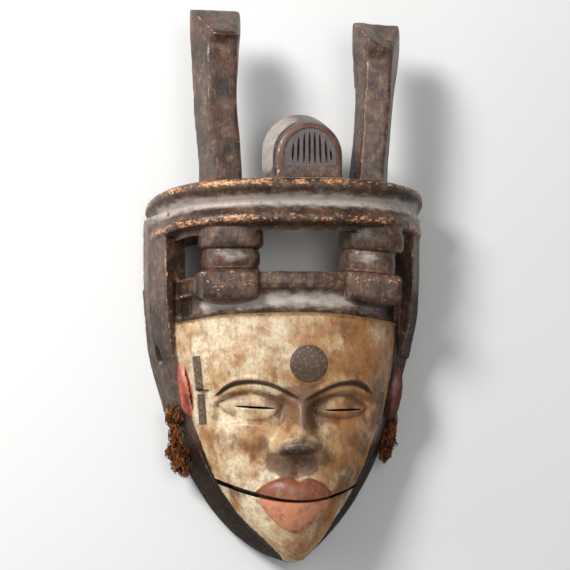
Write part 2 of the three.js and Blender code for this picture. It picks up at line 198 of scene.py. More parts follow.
def carve(piece: Solid, tool: Solid, cut: Cut) -> Solid:
    """Cuts, joins or trims one solid by another, which is used up.

    Args:
        piece: the solid that is worked on.
        tool: the solid that works on it.
        cut: what it does.

    Returns:
        The piece.
    """
    boolean = piece.modifiers.new(cut.name.lower(), "BOOLEAN")
    boolean.operation = cut.value
    boolean.solver = "MANIFOLD"
    boolean.object = tool
    before = len(piece.data.polygons)
    settle(piece)
    LOG.debug("%s %s: %d faces to %d", cut.name, tool.name, before, len(piece.data.polygons))
    used = tool.data
    bpy.data.objects.remove(tool)
    bpy.data.meshes.remove(used)
    return piece


def carve_all(piece: Solid, tools: Iterable[Solid], cut: Cut) -> Solid:
    """Cuts, joins or trims one solid by several others, one after another."""
    for tool in tools:
        carve(piece, tool, cut)
    return piece


def remesh(piece: Solid, pitch: float) -> Solid:
    """Gives the piece an even skin of small faces, its corners rounded as wear rounds them."""
    skin = piece.modifiers.new("even skin", "REMESH")
    skin.mode = "VOXEL"
    skin.voxel_size = pitch
    return settle(piece)


def thin_out(piece: Solid, triangles: int) -> Solid:
    """Merges faces where the skin is flattest, until about so many triangles are left."""
    now = sum(len(face.vertices) - 2 for face in piece.data.polygons)
    if now > triangles:
        thin = piece.modifiers.new("thin out", "DECIMATE")
        thin.ratio = triangles / now
        settle(piece)
    return piece


def closed_sheet(name: str, columns: int, rows: int, place: Callable[[Array, Array], Array]) -> Solid:
    """Rolls a grid into a closed skin: round itself across, and capped at both ends.

    Args:
        name: the object's name.
        columns: faces across.
        rows: faces along.
        place: gives the places for arrays of across and along, each from 0 to 1.

    Returns:
        The closed solid.
    """
    bm = bmesh.new()
    bmesh.ops.create_grid(bm, x_segments=columns, y_segments=rows, size=1.0)
    mesh = bpy.data.meshes.new(name)
    bm.to_mesh(mesh)
    flat = read_places(mesh)
    write_places(mesh, place((flat[:, 0] + 1.0) / 2.0, (flat[:, 1] + 1.0) / 2.0))
    bm.clear()
    bm.from_mesh(mesh)
    bpy.data.meshes.remove(mesh)
    bmesh.ops.remove_doubles(bm, verts=bm.verts, dist=0.01)
    bmesh.ops.holes_fill(bm, edges=[edge for edge in bm.edges if edge.is_boundary], sides=0)
    return place_object(name, bm)


def prism(name: str, outline: Sequence[tuple[float, float, float]], along: Vector) -> Solid:
    """A straight solid: one flat outline pushed along a line."""
    bm = bmesh.new()
    face = bm.faces.new([bm.verts.new(point) for point in outline])
    pushed = bmesh.ops.extrude_face_region(bm, geom=[face])
    moved = [item for item in pushed["geom"] if isinstance(item, bmesh.types.BMVert)]
    bmesh.ops.translate(bm, verts=moved, vec=along)
    return place_object(name, bm)


def bar(name: str, low: Vector, high: Vector) -> Solid:
    """A square-edged block between two corners."""
    bm = bmesh.new()
    bmesh.ops.create_cube(bm, size=1.0)
    bmesh.ops.scale(bm, verts=bm.verts, vec=high - low)
    bmesh.ops.translate(bm, verts=bm.verts, vec=(low + high) / 2)
    return place_object(name, bm)


def all_below(top: float) -> Solid:
    """Everything below a depth, down past the back."""
    return bar("below", Vector((-FAR, -FAR, -2 * BELOW)), Vector((FAR, FAR, top)))


def rod(name: str, radius: float, start: Vector, end: Vector, sides: int = 20) -> Solid:
    """A round rod from one point to another."""
    bm = bmesh.new()
    line = end - start
    turn = line.to_track_quat("Z", "Y").to_matrix().to_4x4()
    bmesh.ops.create_cone(
        bm, cap_ends=True, segments=sides, radius1=radius, radius2=radius, depth=line.length,
        matrix=Matrix.Translation((start + end) / 2) @ turn,
    )
    return place_object(name, bm)


def ball(name: str, sizes: Sequence[float], spot: Vector, turn: Matrix, sides: int = 32) -> Solid:
    """A lens or egg with the half sizes given."""
    bm = bmesh.new()
    bmesh.ops.create_uvsphere(bm, u_segments=sides, v_segments=sides // 2, radius=1.0)
    bmesh.ops.scale(bm, verts=bm.verts, vec=Vector(sizes))
    bmesh.ops.transform(bm, matrix=Matrix.Translation(spot) @ turn, verts=bm.verts)
    return place_object(name, bm)


# The drawing of the front


@dataclass(frozen=True)
class Outline:
    """One side outline of the block, seen from the front, narrowing to the chin."""

    half: float
    foot: float
    span: float
    curve: float
    power: float

    def half_width(self, y: Array) -> Array:
        """Half the width at each height."""
        t = np.clip((y - self.foot) / self.span, 0.0, 1.0)
        return self.half * (1.0 - (1.0 - t) ** self.curve) ** self.power


@dataclass(frozen=True)
class Eye:
    """A closed eye: a full lid with a slit, between two corners."""

    x: float
    half: float
    corner: float  # height of the line between the corners, at its middle
    tilt: float  # fall of that line from its left end to its right, over half the eye
    up: float
    down: float
    lean: float  # how far the fullest place of the upper edge lies to the right
    tail: float  # how much flatter the lid is at its left end than at its right
    slit: tuple[float, float]

    def along(self, x: Array) -> Array:
        """Place along the eye, -1 and 1 at its corners."""
        return np.clip((x - self.x) / self.half, -1.0, 1.0)

    def middle(self, x: Array) -> Array:
        """Height of the line between the corners."""
        return self.corner - self.tilt * self.along(x)

    def upper(self, x: Array) -> Array:
        """Height of the lid's upper edge, long and low towards the temple."""
        e = self.along(x)
        bow = 1.15 - self.tail * e
        return self.middle(x) + self.up * (1 - e**2) ** bow * (1 + self.lean * e)

    def lower(self, x: Array) -> Array:
        """Height of the lower lid's edge."""
        e = self.along(x)
        return self.middle(x) - self.down * (1 - e**2) ** 0.7 * (1 + 0.7 * self.lean * e)

    def parting(self, x: Array) -> Array:
        """Height of the slit between the lids."""
        return self.middle(x) - 2.2

    def slit_room(self) -> Solid:
        """The thin slit, right through the wood."""
        steps = 14
        left, right = self.slit
        lower, upper = [], []
        for i in range(steps + 1):
            t = i / steps
            x = left + (right - left) * t
            half = 0.3 + 0.75 * math.sin(math.pi * t) ** 0.5
            y = float(self.parting(np.float64(x)))
            lower.append((x, y - half, 58.0))
            upper.append((x, y + half, 58.0))
        return prism("eye slit", [*lower, *reversed(upper)], Vector((0, 0, 80)))


@dataclass(frozen=True)
class Disc:
    """The round dark disc in the middle of the forehead."""

    x: float = 9.4
    y: float = -64.7
    radius: float = 16.4
    proud: float = 1.4

    def reach(self, x: Array, y: Array) -> Array:
        """How far inside the disc a point lies, in millimetres."""
        return self.radius - np.hypot(x - self.x, y - self.y)

    def height(self, x: Array, y: Array) -> Array:
        """How far it stands above the forehead, with a softened edge."""
        return self.proud * rise(-0.5, 0.9, self.reach(x, y))


DISC = Disc()


@dataclass(frozen=True)
class FaceForm:
    """The carved front: a rounded block with brows, lidded eyes, a broad nose and full lips."""

    centre: float = 0.5
    rim: Outline = Outline(half=123.5, foot=-241.5, span=287.0, curve=2.1, power=0.52)
    edge: Outline = Outline(half=95.0, foot=-238.0, span=206.5, curve=2.0, power=0.74)
    least_edge: float = 10.5
    edge_top: float = 52.0
    edge_drop: float = 9.0
    crown_lean: float = 0.175
    crown_front: float = 118.0
    hairline: float = -19.5
    band_top: float = 15.5
    gap: float = 2.6
    deepest_socket: float = 8.6
    crest: Line = Line(
        (-241.5, 44), (-239, 53), (-236, 63), (-230, 74), (-221, 82), (-205, 88), (-165, 93),
        (-135, 94), (-105, 94), (-90, 98), (-65, 103), (-24, 99), (16, 97),
    )
    midline: Line = Line((-236, 1), (-183, 0), (-128, 1.5), (-97, 4.5), (-62, 8), (-24, 7))
    brow_left: Line = Line(
        (-70, -94.5), (-64.9, -90.3), (-59, -85.0), (-50.8, -80.6), (-38.9, -79.2), (-25.3, -81.2),
        (-10.8, -87.4), (-3, -92), (4, -96),
    )
    brow_right: Line = Line(
        (5, -97), (14.4, -92.4), (21.3, -88.6), (30.8, -84.0), (40.3, -81.4), (48.9, -80.8),
        (57.6, -83.0), (64.6, -87.5), (69, -92),
    )
    eyes: tuple[Eye, Eye] = (
        Eye(
            x=-38.6, half=27.2, corner=-101, tilt=1.6, up=10.4, down=14.0, lean=0.28, tail=0.35,
            slit=(-50.5, -17.0),
        ),
        Eye(
            x=40.5, half=25.5, corner=-104.3, tilt=0.2, up=11.4, down=10.5, lean=-0.2, tail=-0.3,
            slit=(26.0, 59.0),
        ),
    )
    nose_height: Line = Line(
        (-148, 0), (-143.5, 1), (-141, 8), (-136.5, 18.5), (-131, 20.5), (-124, 18), (-108, 10.5),
        (-97, 5.5), (-88, 2), (-78, 0),
    )
    nose_half: Line = Line((-145, 18), (-133, 15.5), (-120, 11.5), (-105, 8.5), (-92, 8.5))
    cove: Line = Line(
        (-25, 0), (-22.6, 0.1), (-21.4, 1.3), (-19.8, 1.3), (-18.6, -2.6), (-15, -5.0), (-8, -6.6),
        (-2.5, -5.6), (0.6, -3.2), (2.2, -0.4), (7, 0.5), (13, 0.3), (16, -0.6),
    )

    def rim_half(self, y: Array) -> Array:
        """Half the width of the back rim."""
        return self.rim.half_width(y)

    def edge_half(self, y: Array) -> Array:
        """Half the width of the face, where it turns into the flanks."""
        edge = np.hypot(self.edge.half_width(y), self.least_edge)
        return np.minimum(edge, self.rim_half(y) - 1.0)

    def edge_height(self, y: Array) -> Array:
        """Depth at which the face turns into the flanks."""
        return self.edge_top - self.edge_drop * (1.0 - rise(self.rim.foot, self.rim.foot + 8.0, y))

    def lean(self, y: Array, z: Array) -> Array:
        """How far the crown drops at a depth: what lies deeper sits lower."""
        return self.crown_lean * rise(-110.0, -21.0, y) * (self.crown_front - z)

    def unleaned(self, y: Array, z: Array) -> Array:
        """The drawing's own height for a point that the lean has moved."""
        drawn = y
        for _ in range(3):
            drawn = y + self.lean(drawn, z)
        return drawn

    def hair(self, x: Array) -> Array:
        """Height of the hairline, which falls towards both temples."""
        return self.hairline - 3.4 * rise(10.0, 82.0, x) - 1.5 * rise(-60.0, -90.0, x)

    def split(self, x: Array) -> Array:
        """Height of the line of the mouth, between the two lips."""
        across = np.clip(x, -62.0, 62.0)
        return -181.8 + 0.0028 * across**2 - 0.02 * across

    def block(self, x: Array, y: Array) -> Array:
        """Depth of the plain rounded block."""
        s = np.minimum(np.abs((x - self.centre) / self.edge_half(y)), 1.0)
        dome = np.maximum(self.crest(y) - self.edge_height(y), 0.0)
        return self.edge_height(y) + dome * (1.0 - s**2.4) ** 0.75

    def brow(self, x: Array) -> Array:
        """Height of the brow's sharp lower edge."""
        return np.where(x < 4.5, self.brow_left(x), self.brow_right(x))

    def brow_fade(self, x: Array) -> Array:
        """1 along a brow, 0 past its outer end and on the bridge of the nose."""
        return (1.0 - rise(62.0, 70.0, np.abs(x - 0.8))) * rise(0.5, 9.0, np.abs(x - 4.5))

    def sockets(self, x: Array, y: Array) -> Array:
        """The step under each brow, the fold below it, the groove, and the full lids."""
        under = self.brow(x) - y
        within = 1.0 - rise(62.0, 72.0, np.abs(x - 0.8))
        beside_nose = rise(2.0, 13.0, np.abs(x - self.midline(y)))
        fade = self.brow_fade(x)
        edge = 1.9 * hill(under + 1.6, 3.2) * fade
        step = 3.6 * rise(-0.3, 1.5, under) * (1.0 - rise(22.0, 42.0, under)) * fade
        orbit = 1.9 * hill(under - 6.0, 3.0) * fade
        low = rise(7.5, 13.5, under) * (1.0 - rise(27.0, 40.0, under)) * beside_nose * within
        corner = hill(np.abs(x - 2.0) - 20.0, 11.0) * hill(under - 15.0, 9.0) * beside_nose
        height = edge - step + orbit - 5.4 * low - 4.6 * corner
        for eye in self.eyes:
            e = eye.along(x)
            open_part = np.sqrt(np.clip(1.0 - e**2, 0.0, 1.0))
            top, low_edge, mid = eye.upper(x), eye.lower(x), eye.parting(x)
            above, beneath = share(y - mid, top - mid), share(mid - y, mid - low_edge)
            lid = np.where(y > mid, np.cos(above * np.pi / 2) ** 1.1, np.cos(beneath * np.pi / 2) ** 0.9)
            inside = (y < top) & (y > low_edge) & (np.abs(e) < 1.0)
            height = height + np.where(inside, 7.4 * open_part**0.8 * lid, 0.0)
            height = height - 0.9 * hill(y - top, 1.7) * open_part - 0.5 * hill(y - low_edge, 2.2) * open_part
            height = height - 0.7 * hill(y - mid, 1.1) * inside * rise(0.0, 0.5, open_part)
        deepest = self.deepest_socket
        return np.where(height < 0.0, -deepest * np.tanh(-height / deepest), height)

    def nose(self, x: Array, y: Array) -> Array:
        """The broad nose with its wings and the drooping tip."""
        across = x - self.midline(y)
        ridge = self.nose_height(y) * np.exp(-(np.abs(across / self.nose_half(y)) ** 2.8))
        wings = 6.5 * (hill(across - 14.5, 7.0) + hill(across + 14.5, 7.0)) * hill(y + 135.0, 6.0)
        r = np.sqrt((across / 19.5) ** 2 + ((y + 136.2) / 7.2) ** 2)
        tip = 4.2 * np.clip(1.0 - r**2.4, 0.0, 1.0) ** 0.6
        beside = hill(np.abs(across) - self.nose_half(y) - 4.5, 3.0)
        beside = beside * rise(-141.0, -132.0, y) * rise(-88.0, -98.0, y)
        return ridge + wings + tip - 1.6 * beside

    def upper_lip_edge(self, x: Array) -> Array:
        """Height of the upper lip's bowed upper edge."""
        a = np.clip((x + 2.0) / 34.0, -1.0, 1.0)
        return -176.5 + 15.2 * (1.0 - np.abs(a) ** 2.6) - 4.2 * hill(x - 1.7, 5.0)

    def lower_lip_edge(self, x: Array) -> Array:
        """Height of the lower lip's pointed lower edge."""
        a = np.clip(x / 31.0, -1.0, 1.0)
        return -184.0 - 25.8 * (1.0 - np.abs(a) ** 1.8)

    def lip_reach(self, x: Array, y: Array) -> Array:
        """How far inside the lips a point lies, in millimetres, and below zero outside them."""
        split = self.split(x)
        upper = np.minimum(self.upper_lip_edge(x) - y, 34.0 - np.abs(x + 2.0))
        lower = np.minimum(y - self.lower_lip_edge(x), 31.0 - np.abs(x))
        return np.where(y > split, upper, lower)

    def lips(self, x: Array, y: Array) -> Array:
        """The muzzle and the two full lips."""
        muzzle = 6.0 * hill(x, 46.0) * hill(y + 184.0, 32.0)
        split = self.split(x)
        along = np.sqrt(np.clip(1.0 - (x / 34.0) ** 2, 0.0, 1.0))
        above = share(y - split, self.upper_lip_edge(x) - split)
        beneath = share(split - y, split - self.lower_lip_edge(x))
        full = np.where(y > split, (1.0 - above**2.6) ** 0.42, (1.0 - beneath**2.0) ** 0.5)
        philtrum = -2.0 * hill(x - 1.5, 4.5) * rise(-166.0, -160.0, y) * (1 - rise(-152.0, -144.0, y))
        return muzzle + philtrum + 8.0 * along**1.1 * full

    def height(self, x: Array, y: Array) -> Array:
        """Depth of the carved front at each place of the drawing."""
        s = np.minimum(np.abs((x - self.centre) / self.edge_half(y)), 1.0)
        carved = (self.sockets(x, y) + self.nose(x, y) + self.lips(x, y)) * (1.0 - s**8)
        below_band = carved + DISC.height(x, y)
        up = y + self.hairline - self.hair(x)
        return self.block(x, y) + np.where(up > self.hairline - 5.0, self.cove(up), below_band)


FACE = FaceForm()


@dataclass(frozen=True)
class Block:
    """The whole block that the face, its flanks and the band are carved from."""

    face: FaceForm = FACE
    columns: int = 150
    rows: int = 170
    wall: float = 0.0
    front_wall: float = 0.0
    floor: float = 0.0
    foot: float = -240.9
    top: float = 15.5
    flank: float = 0.16  # the share of the ring that each flank takes
    plain: bool = False

    def places(self, across: Array, along: Array) -> Array:
        """Where each point of the grid goes: rim, flank, face, flank and back along the floor.

        Args:
            across: place round the ring, from 0 at the left rim.
            along: place from the chin, 0, to the band's top, 1.

        Returns:
            One row of X, Y and Z for each point.
        """
        face = self.face
        up = along if self.plain else 1.35 * along - 0.35 * along**2
        y = self.foot + (self.top - self.foot) * up
        last = 1.0 - 0.5 / self.columns
        k = np.clip(across / last, 0.0, 1.0)
        rim = face.rim_half(y) - self.wall
        edge = np.minimum(face.edge_half(y) - self.wall * 0.9, rim - 0.5)
        height = face.edge_height(y) - self.wall * 0.8
        left, right = k < self.flank, k > 1.0 - self.flank
        t = np.where(left, k, 1.0 - k) / self.flank
        belly = 2.5 * np.sin(np.pi * np.clip(t, 0, 1)) * np.minimum(1.0, height / face.edge_top)
        flank_x = rim + (edge - rim) * t + belly
        flank_z = self.floor + (height - self.floor) * t
        s = np.clip((k - 0.5) / (0.5 - self.flank), -1.0, 1.0)
        s = s * (1.18 - 0.18 * s**2)
        source = face.block if self.plain else face.height
        front_z = np.maximum(source(face.centre + s * face.edge_half(y), y) - self.front_wall, height)
        x = np.where(left, -flank_x, np.where(right, flank_x, s * edge))
        z = np.where(left | right, flank_z, front_z)
        closing = across > last
        x = np.where(closing, -rim, x) + face.centre
        z = np.where(closing, self.floor, z)
        return np.stack([x, y - face.lean(y, z), z], axis=1)

    def build(self, name: str) -> Solid:
        """Makes the block."""
        return closed_sheet(name, self.columns, self.rows, self.places)


def hollow() -> Solid:
    """The room behind the face, with walls of the real thickness."""
    return Block(
        columns=60, rows=48, wall=10.0, front_wall=12.0, floor=-5.0, foot=-229.5, top=3.5, plain=True
    ).build("hollow")


@dataclass(frozen=True)
class Hinge:
    """The pin line of the jaw, and the round knuckles of its arms behind the cheeks."""

    y: float = -150.0
    z: float = 24.0
    round: float = 23.0
    heel: float = 4.0
    hole: float = 4.2
    gap: float = 1.3
    turns: tuple[float, ...] = (-1.5, 0.0, 2.0, 4.0, 6.0, 8.0)

    def arm_room(self, gap: float, turn: float = 0.0) -> Solid:
        """The room that the arms fill, or move in, widened by a gap and turned about the pin line."""
        reach = self.round + gap
        outline = [(-FAR, -BELOW), (self.y + reach - self.heel, -BELOW), (self.y + reach - self.heel, 0.0)]
        steps = 12
        for i in range(steps + 1):
            angle = i / steps * math.pi / 2
            outline.append((self.y + reach * math.cos(angle), self.z + reach * math.sin(angle)))
        outline.append((-FAR, self.z + reach))
        made = prism("arm room", [(-FAR, y, z) for y, z in outline], Vector((2 * FAR, 0, 0)))
        pin = Vector((0.0, self.y, self.z))
        swing = Matrix.Rotation(math.radians(turn), 4, "X")
        made.data.transform(Matrix.Translation(pin) @ swing @ Matrix.Translation(-pin))
        return made

    def pin_room(self) -> Solid:
        """The hole across both arms."""
        return rod("pin hole", self.hole, Vector((-FAR, self.y, self.z)), Vector((FAR, self.y, self.z)))

    def heel_room(self) -> Solid:
        """What is cut from the jaw's back edge, which climbs to the chin."""
        top = self.y + 18.0
        past = top + BELOW
        lift, climb = 1.5, 0.15
        outline = [
            (past, -BELOW), (past, lift), (top, lift), (-FAR, lift + climb * (top + FAR)), (-FAR, -BELOW),
        ]
        return prism("heel room", [(-FAR, y, z) for y, z in outline], Vector((2 * FAR, 0, 0)))


HINGE = Hinge()


def below_mouth(gap: float, wider: float = 0.0) -> Solid:
    """Everything below the line of the mouth, lowered by the gap, and higher to the left by more."""
    steps, reach = 48, 62.0
    outline = [(-FAR, -FAR), (FAR, -FAR), (FAR, float(FACE.split(reach)) - gap)]
    for i in range(steps + 1):
        x = reach * (1.0 - 2.0 * i / steps)
        outline.append((x, float(FACE.split(x)) - gap + wider * float(rise(10.0, -45.0, np.float64(x)))))
    outline.append((-FAR, float(FACE.split(-reach)) - gap + wider))
    return prism("below mouth", [(x, y, -BELOW) for x, y in outline], Vector((0, 0, FAR)))


# The crown


@dataclass(frozen=True)
class HalfRing:
    """The moulded half ring: two ridges with a cove between them, over a plain fascia."""

    half: float = 122.0
    front: float = 118.0
    square: float = 2.8
    middle: float = 2.0
    depth: float = 56.0
    top: float = 91.5
    tall: float = 43.8
    steps: int = 190
    inside_lift: float = 12.0  # how much higher the underside is at its back
    profile: Line = Line(
        (0.0, 9.5), (1.2, 5.0), (3.0, 1.6), (5.4, 0.2), (9.0, 0.3), (13.0, 2.2), (16.6, 5.2), (19.4, 8.0),
        (21.4, 8.3), (24.5, 6.4), (29.0, 3.2), (32.5, 1.6), (35.2, 1.4), (37.2, 2.2), (38.2, 4.6),
        (38.7, 12.0), (41.0, 13.8), (43.8, 14.0),
    )

    def path(self, angle: Array, back: Array) -> tuple[Array, Array]:
        """X and Z of the ring at an angle, a distance back from its front."""
        bend = 2.0 / self.square
        cos, sin = np.cos(angle), np.clip(np.sin(angle), 0.0, 1.0)
        x = (self.half - back) * np.sign(cos) * np.abs(cos) ** bend
        return self.middle + x, (self.front - back) * sin**bend

    def places(self, across: Array, along: Array) -> Array:
        """Round the section across, and round the half ring along."""
        front_share = 0.84
        down = np.clip(across / front_share, 0.0, 1.0) * self.tall
        back = self.profile(down)
        behind = across > front_share
        t = (across - front_share) / (1.0 - front_share)
        inside = self.top - self.tall + self.inside_lift
        y = np.where(behind, inside + (self.top - inside) * np.clip(2.0 * t - 0.5, 0.0, 1.0), self.top - down)
        back = np.where(behind, self.depth, back)
        closing = across > 1.0 - 1e-6
        back = np.where(closing, self.profile(0.0), back)
        y = np.where(closing, self.top, y)
        x, z = self.path(np.pi * along, back)
        return np.stack([x, y - FACE.crown_lean * (FACE.crown_front - z), z], axis=1)

    def build(self) -> Solid:
        """Makes the ring."""
        return closed_sheet("half ring", 75, self.steps, self.places)


@dataclass(frozen=True)
class Pillar:
    """A pillar of stacked rounds over a heavy block, turned square-shouldered by hand."""

    x: float
    profile: tuple[tuple[float, float], ...]  # height and half width
    shifts: Line  # how far each height stands to the side
    cuts: tuple[float, ...]  # heights of the dark cuts between its rounds
    tilt: float = 0.0
    z: float = 73.0
    deep: float = 31.0
    sides: int = 96
    bend: float = 0.62
    block_bend: float = 0.2  # the block below is squarer
    straighter: float = 0.04  # how far a pillar leans, which is less than the crown does
    block_top: float = 14.6

    @property
    def rise_in_front(self) -> float:
        """How much lower the pillar's front stands than it is drawn."""
        return FACE.crown_lean * (FACE.crown_front - self.z - self.deep)

    def build(self) -> Solid:
        """Spins the profile, then squares its plan and leans it with the crown."""
        bm = bmesh.new()
        heights = [self.profile[0][0], *(y for y, _ in self.profile), self.profile[-1][0]]
        halves = [0.0, *(half for _, half in self.profile), 0.0]
        points = [bm.verts.new((half, y, 0.0)) for y, half in zip(heights, halves)]
        edges = [bm.edges.new(pair) for pair in zip(points, points[1:])]
        bmesh.ops.spin(
            bm, geom=[*points, *edges], cent=(0, 0, 0), axis=(0, 1, 0), angle=2 * math.pi,
            steps=self.sides, use_merge=True, dvec=(0, 0, 0),
        )
        bmesh.ops.remove_doubles(bm, verts=bm.verts, dist=0.001)
        made = place_object("pillar", bm)
        x, y, z = read_places(made.data).T
        half = np.hypot(x, z)
        cos, sin = np.cos(np.arctan2(z, x)), np.sin(np.arctan2(z, x))
        bend = np.where(y < self.block_top, self.block_bend, self.bend)
        across = half * np.sign(cos) * np.abs(cos) ** bend + self.shifts(y)
        depth = np.maximum(self.deep + half - 28.0, 0.0) * np.sign(sin) * np.abs(sin) ** bend
        depth = np.where(half < 0.01, 0.0, depth)
        lean = self.rise_in_front + self.straighter * (self.deep - depth) + self.tilt * across
        write_places(made.data, np.stack([self.x + across, y - lean, self.z + depth], axis=1))
        return made


PILLARS = (
    Pillar(
        x=-53.0,
        profile=(
            (60, 25), (54, 26.2), (50, 26.9), (44, 27.2), (38.5, 27.1), (36, 26.5), (34.8, 25.2),
            (34.3, 23.2), (33.6, 22.4), (32.2, 22.9), (30, 23.7), (27, 24.2), (23, 24.1), (20, 23.4),
            (18.2, 22.5), (17.2, 22.6), (16.2, 24.2), (15.2, 24.6), (14.7, 24.6), (14.4, 24.8),
            (13.8, 25.5), (10, 25.6), (-6, 25.4), (-7.6, 25.0), (-8.3, 24.0), (-8.8, 22.4), (-10.6, 17),
            (-12.4, 8),
        ),
        shifts=Line((-24, -3.7), (13.9, -3.7), (14.6, -1.5), (17.4, 0), (60, 0)), cuts=(33.8, 16.9),
    ),
    Pillar(
        x=66.0, tilt=0.1, block_top=12.4,
        profile=(
            (60, 24), (52, 25), (47, 26), (40, 26.4), (35.5, 26), (33.2, 25), (32.2, 23.4), (31.4, 22.4),
            (28, 23), (23, 23.2), (17, 22.8), (14.4, 22.2), (13.2, 22.2), (12.5, 22.6), (12.2, 23.2),
            (10.8, 24.1), (8, 24.4), (-7, 24.2), (-9.6, 23.6), (-11.2, 22.2), (-12.2, 20.0), (-13.4, 16),
            (-14.6, 8),
        ),
        shifts=Line((-24, 0.9), (11.8, 0.9), (13.4, -1.0), (30.6, -1.2), (33.4, 2.4), (36, 3.0), (60, 3.0)),
        cuts=(31.6, 13.2),
    ),
)

SIDE_POSTS = (
    ((-121.5, 0), (-119.5, 25), (-107, 58), (-89, 46), (-97, 0)),
    ((125, 0), (123, 25), (110, 58), (94, 46), (101, 0)),
)


def side_post(plan: Sequence[tuple[float, float]]) -> Solid:
    """Pushes a plan up the levels of a side post, narrowing towards its foot.

    Args:
        plan: the post's corners, as X and Z at full size.

    Returns:
        The closed post.
    """
    levels = Line((-62, 0.93), (-22, 0.985), (20, 1.0), (62, 1.0))
    depths = Line((-62, 0.8), (-22, 0.97), (20, 1.0), (62, 1.0))
    xs = np.array([p[0] for p in (*plan, plan[0])], float)
    zs = np.array([p[1] for p in (*plan, plan[0])], float)

    def places(across: Array, along: Array) -> Array:
        """Round the plan across, and up the post along."""
        corner = across * len(plan)
        x = np.interp(corner, range(len(xs)), xs)
        z = np.interp(corner, range(len(zs)), zs)
        y = -62.0 + 124.0 * along
        return np.stack([x * levels(y), y - 0.1 * (60.0 - z), z * depths(y)], axis=1)

    return closed_sheet("side post", len(plan) * 4, 24, places)


@dataclass(frozen=True)
class CrestPost:
    """A tall post on the ring: narrower in front than behind, waisted, and spreading to its end.

    The end falls to the front and stands out over the front face as a lip.
    """

    x: Line
    behind: Line  # width of the back face
    front: Line  # width of the front face
    lip: Line
    sway: Line  # how far the lip stands to the side
    turn: float
    end: tuple[float, float, float, float]  # its heights: back left, front left, front right, back right
    foot: float = 66.0
    z: float = 79.0
    deep: float = 29.0
    per_side: int = 12

    def places(self, across: Array, along: Array) -> Array:
        """Round the four sides across, and up the post along, to the end's own height."""
        corner = across * 4.0
        side = np.minimum(corner.astype(int), 3)
        t = corner - side
        t = t + 0.22 * (t - 0.5) * (0.25 - (t - 0.5) ** 2) * -4.0
        back_left, front_left, front_right, back_right = self.end
        heights = np.array([back_left, front_left, front_right, back_right, back_left])
        top = heights[side] * (1 - t) + heights[side + 1] * t
        y = self.foot + (top - self.foot) * along
        back, front, lip = self.behind(y) / 2, self.front(y) / 2, self.lip(y)
        deep = 0.5 * self.deep
        us = np.stack([-back, self.sway(y) - front, self.sway(y) + front, back, -back])
        vs = np.stack([0 * y - deep, deep + lip, deep + lip, 0 * y - deep, 0 * y - deep])
        index = np.arange(len(y))
        u = us[side, index] * (1 - t) + us[side + 1, index] * t
        v = vs[side, index] * (1 - t) + vs[side + 1, index] * t
        angle = math.radians(self.turn)
        x = self.x(y) + u * math.cos(angle) - v * math.sin(angle)
        return np.stack([x, y, self.z + u * math.sin(angle) + v * math.cos(angle)], axis=1)

    def build(self) -> Solid:
        """Makes the post."""
        return closed_sheet("crest post", 4 * self.per_side, 130, self.places)


CREST_POSTS = (
    CrestPost(
        x=Line((66, -59.2), (94, -59.4), (124, -61.5), (158, -64.1), (192, -64.2), (250, -64.3)),
        behind=Line(
            (66, 38.8), (94, 38.8), (124, 38.8), (158, 38.8), (192, 43), (203, 44.8), (234, 46.6), (250, 47),
        ),
        front=Line(
            (66, 22.9), (94, 22.9), (124, 24.6), (158, 24.6), (192, 26.6), (203, 26), (210, 23.4),
            (250, 23.4),
        ),
        lip=Line((66, 0), (190, 0), (202, -1.0), (205, -0.2), (208.5, 5.4), (210.5, 6.8), (250, 6.8)),
        sway=Line((66, 0), (202, 0), (209, 2.6), (250, 2.6)),
        turn=-6.5, end=(236.5, 211.5, 211.0, 236.5),
    ),
    CrestPost(
        x=Line((66, 66.5), (94, 66.8), (124, 69.3), (158, 71.6), (180, 72.8), (192, 73.2), (250, 73.6)),
        behind=Line((66, 34.5), (94, 34.5), (124, 33.3), (158, 34.3), (192, 41.6), (205, 43.8), (250, 44.4)),
        front=Line((66, 20), (94, 20), (124, 20.9), (158, 21.9), (192, 21.5), (250, 22)),
        lip=Line((66, 0), (184, 0), (192, -0.8), (198, 1.4), (206, 3.6), (250, 3.6)),
        sway=Line((66, 0), (250, 0)),
        turn=5.2, end=(229.0, 212.0, 198.5, 226.6),
    ),
)


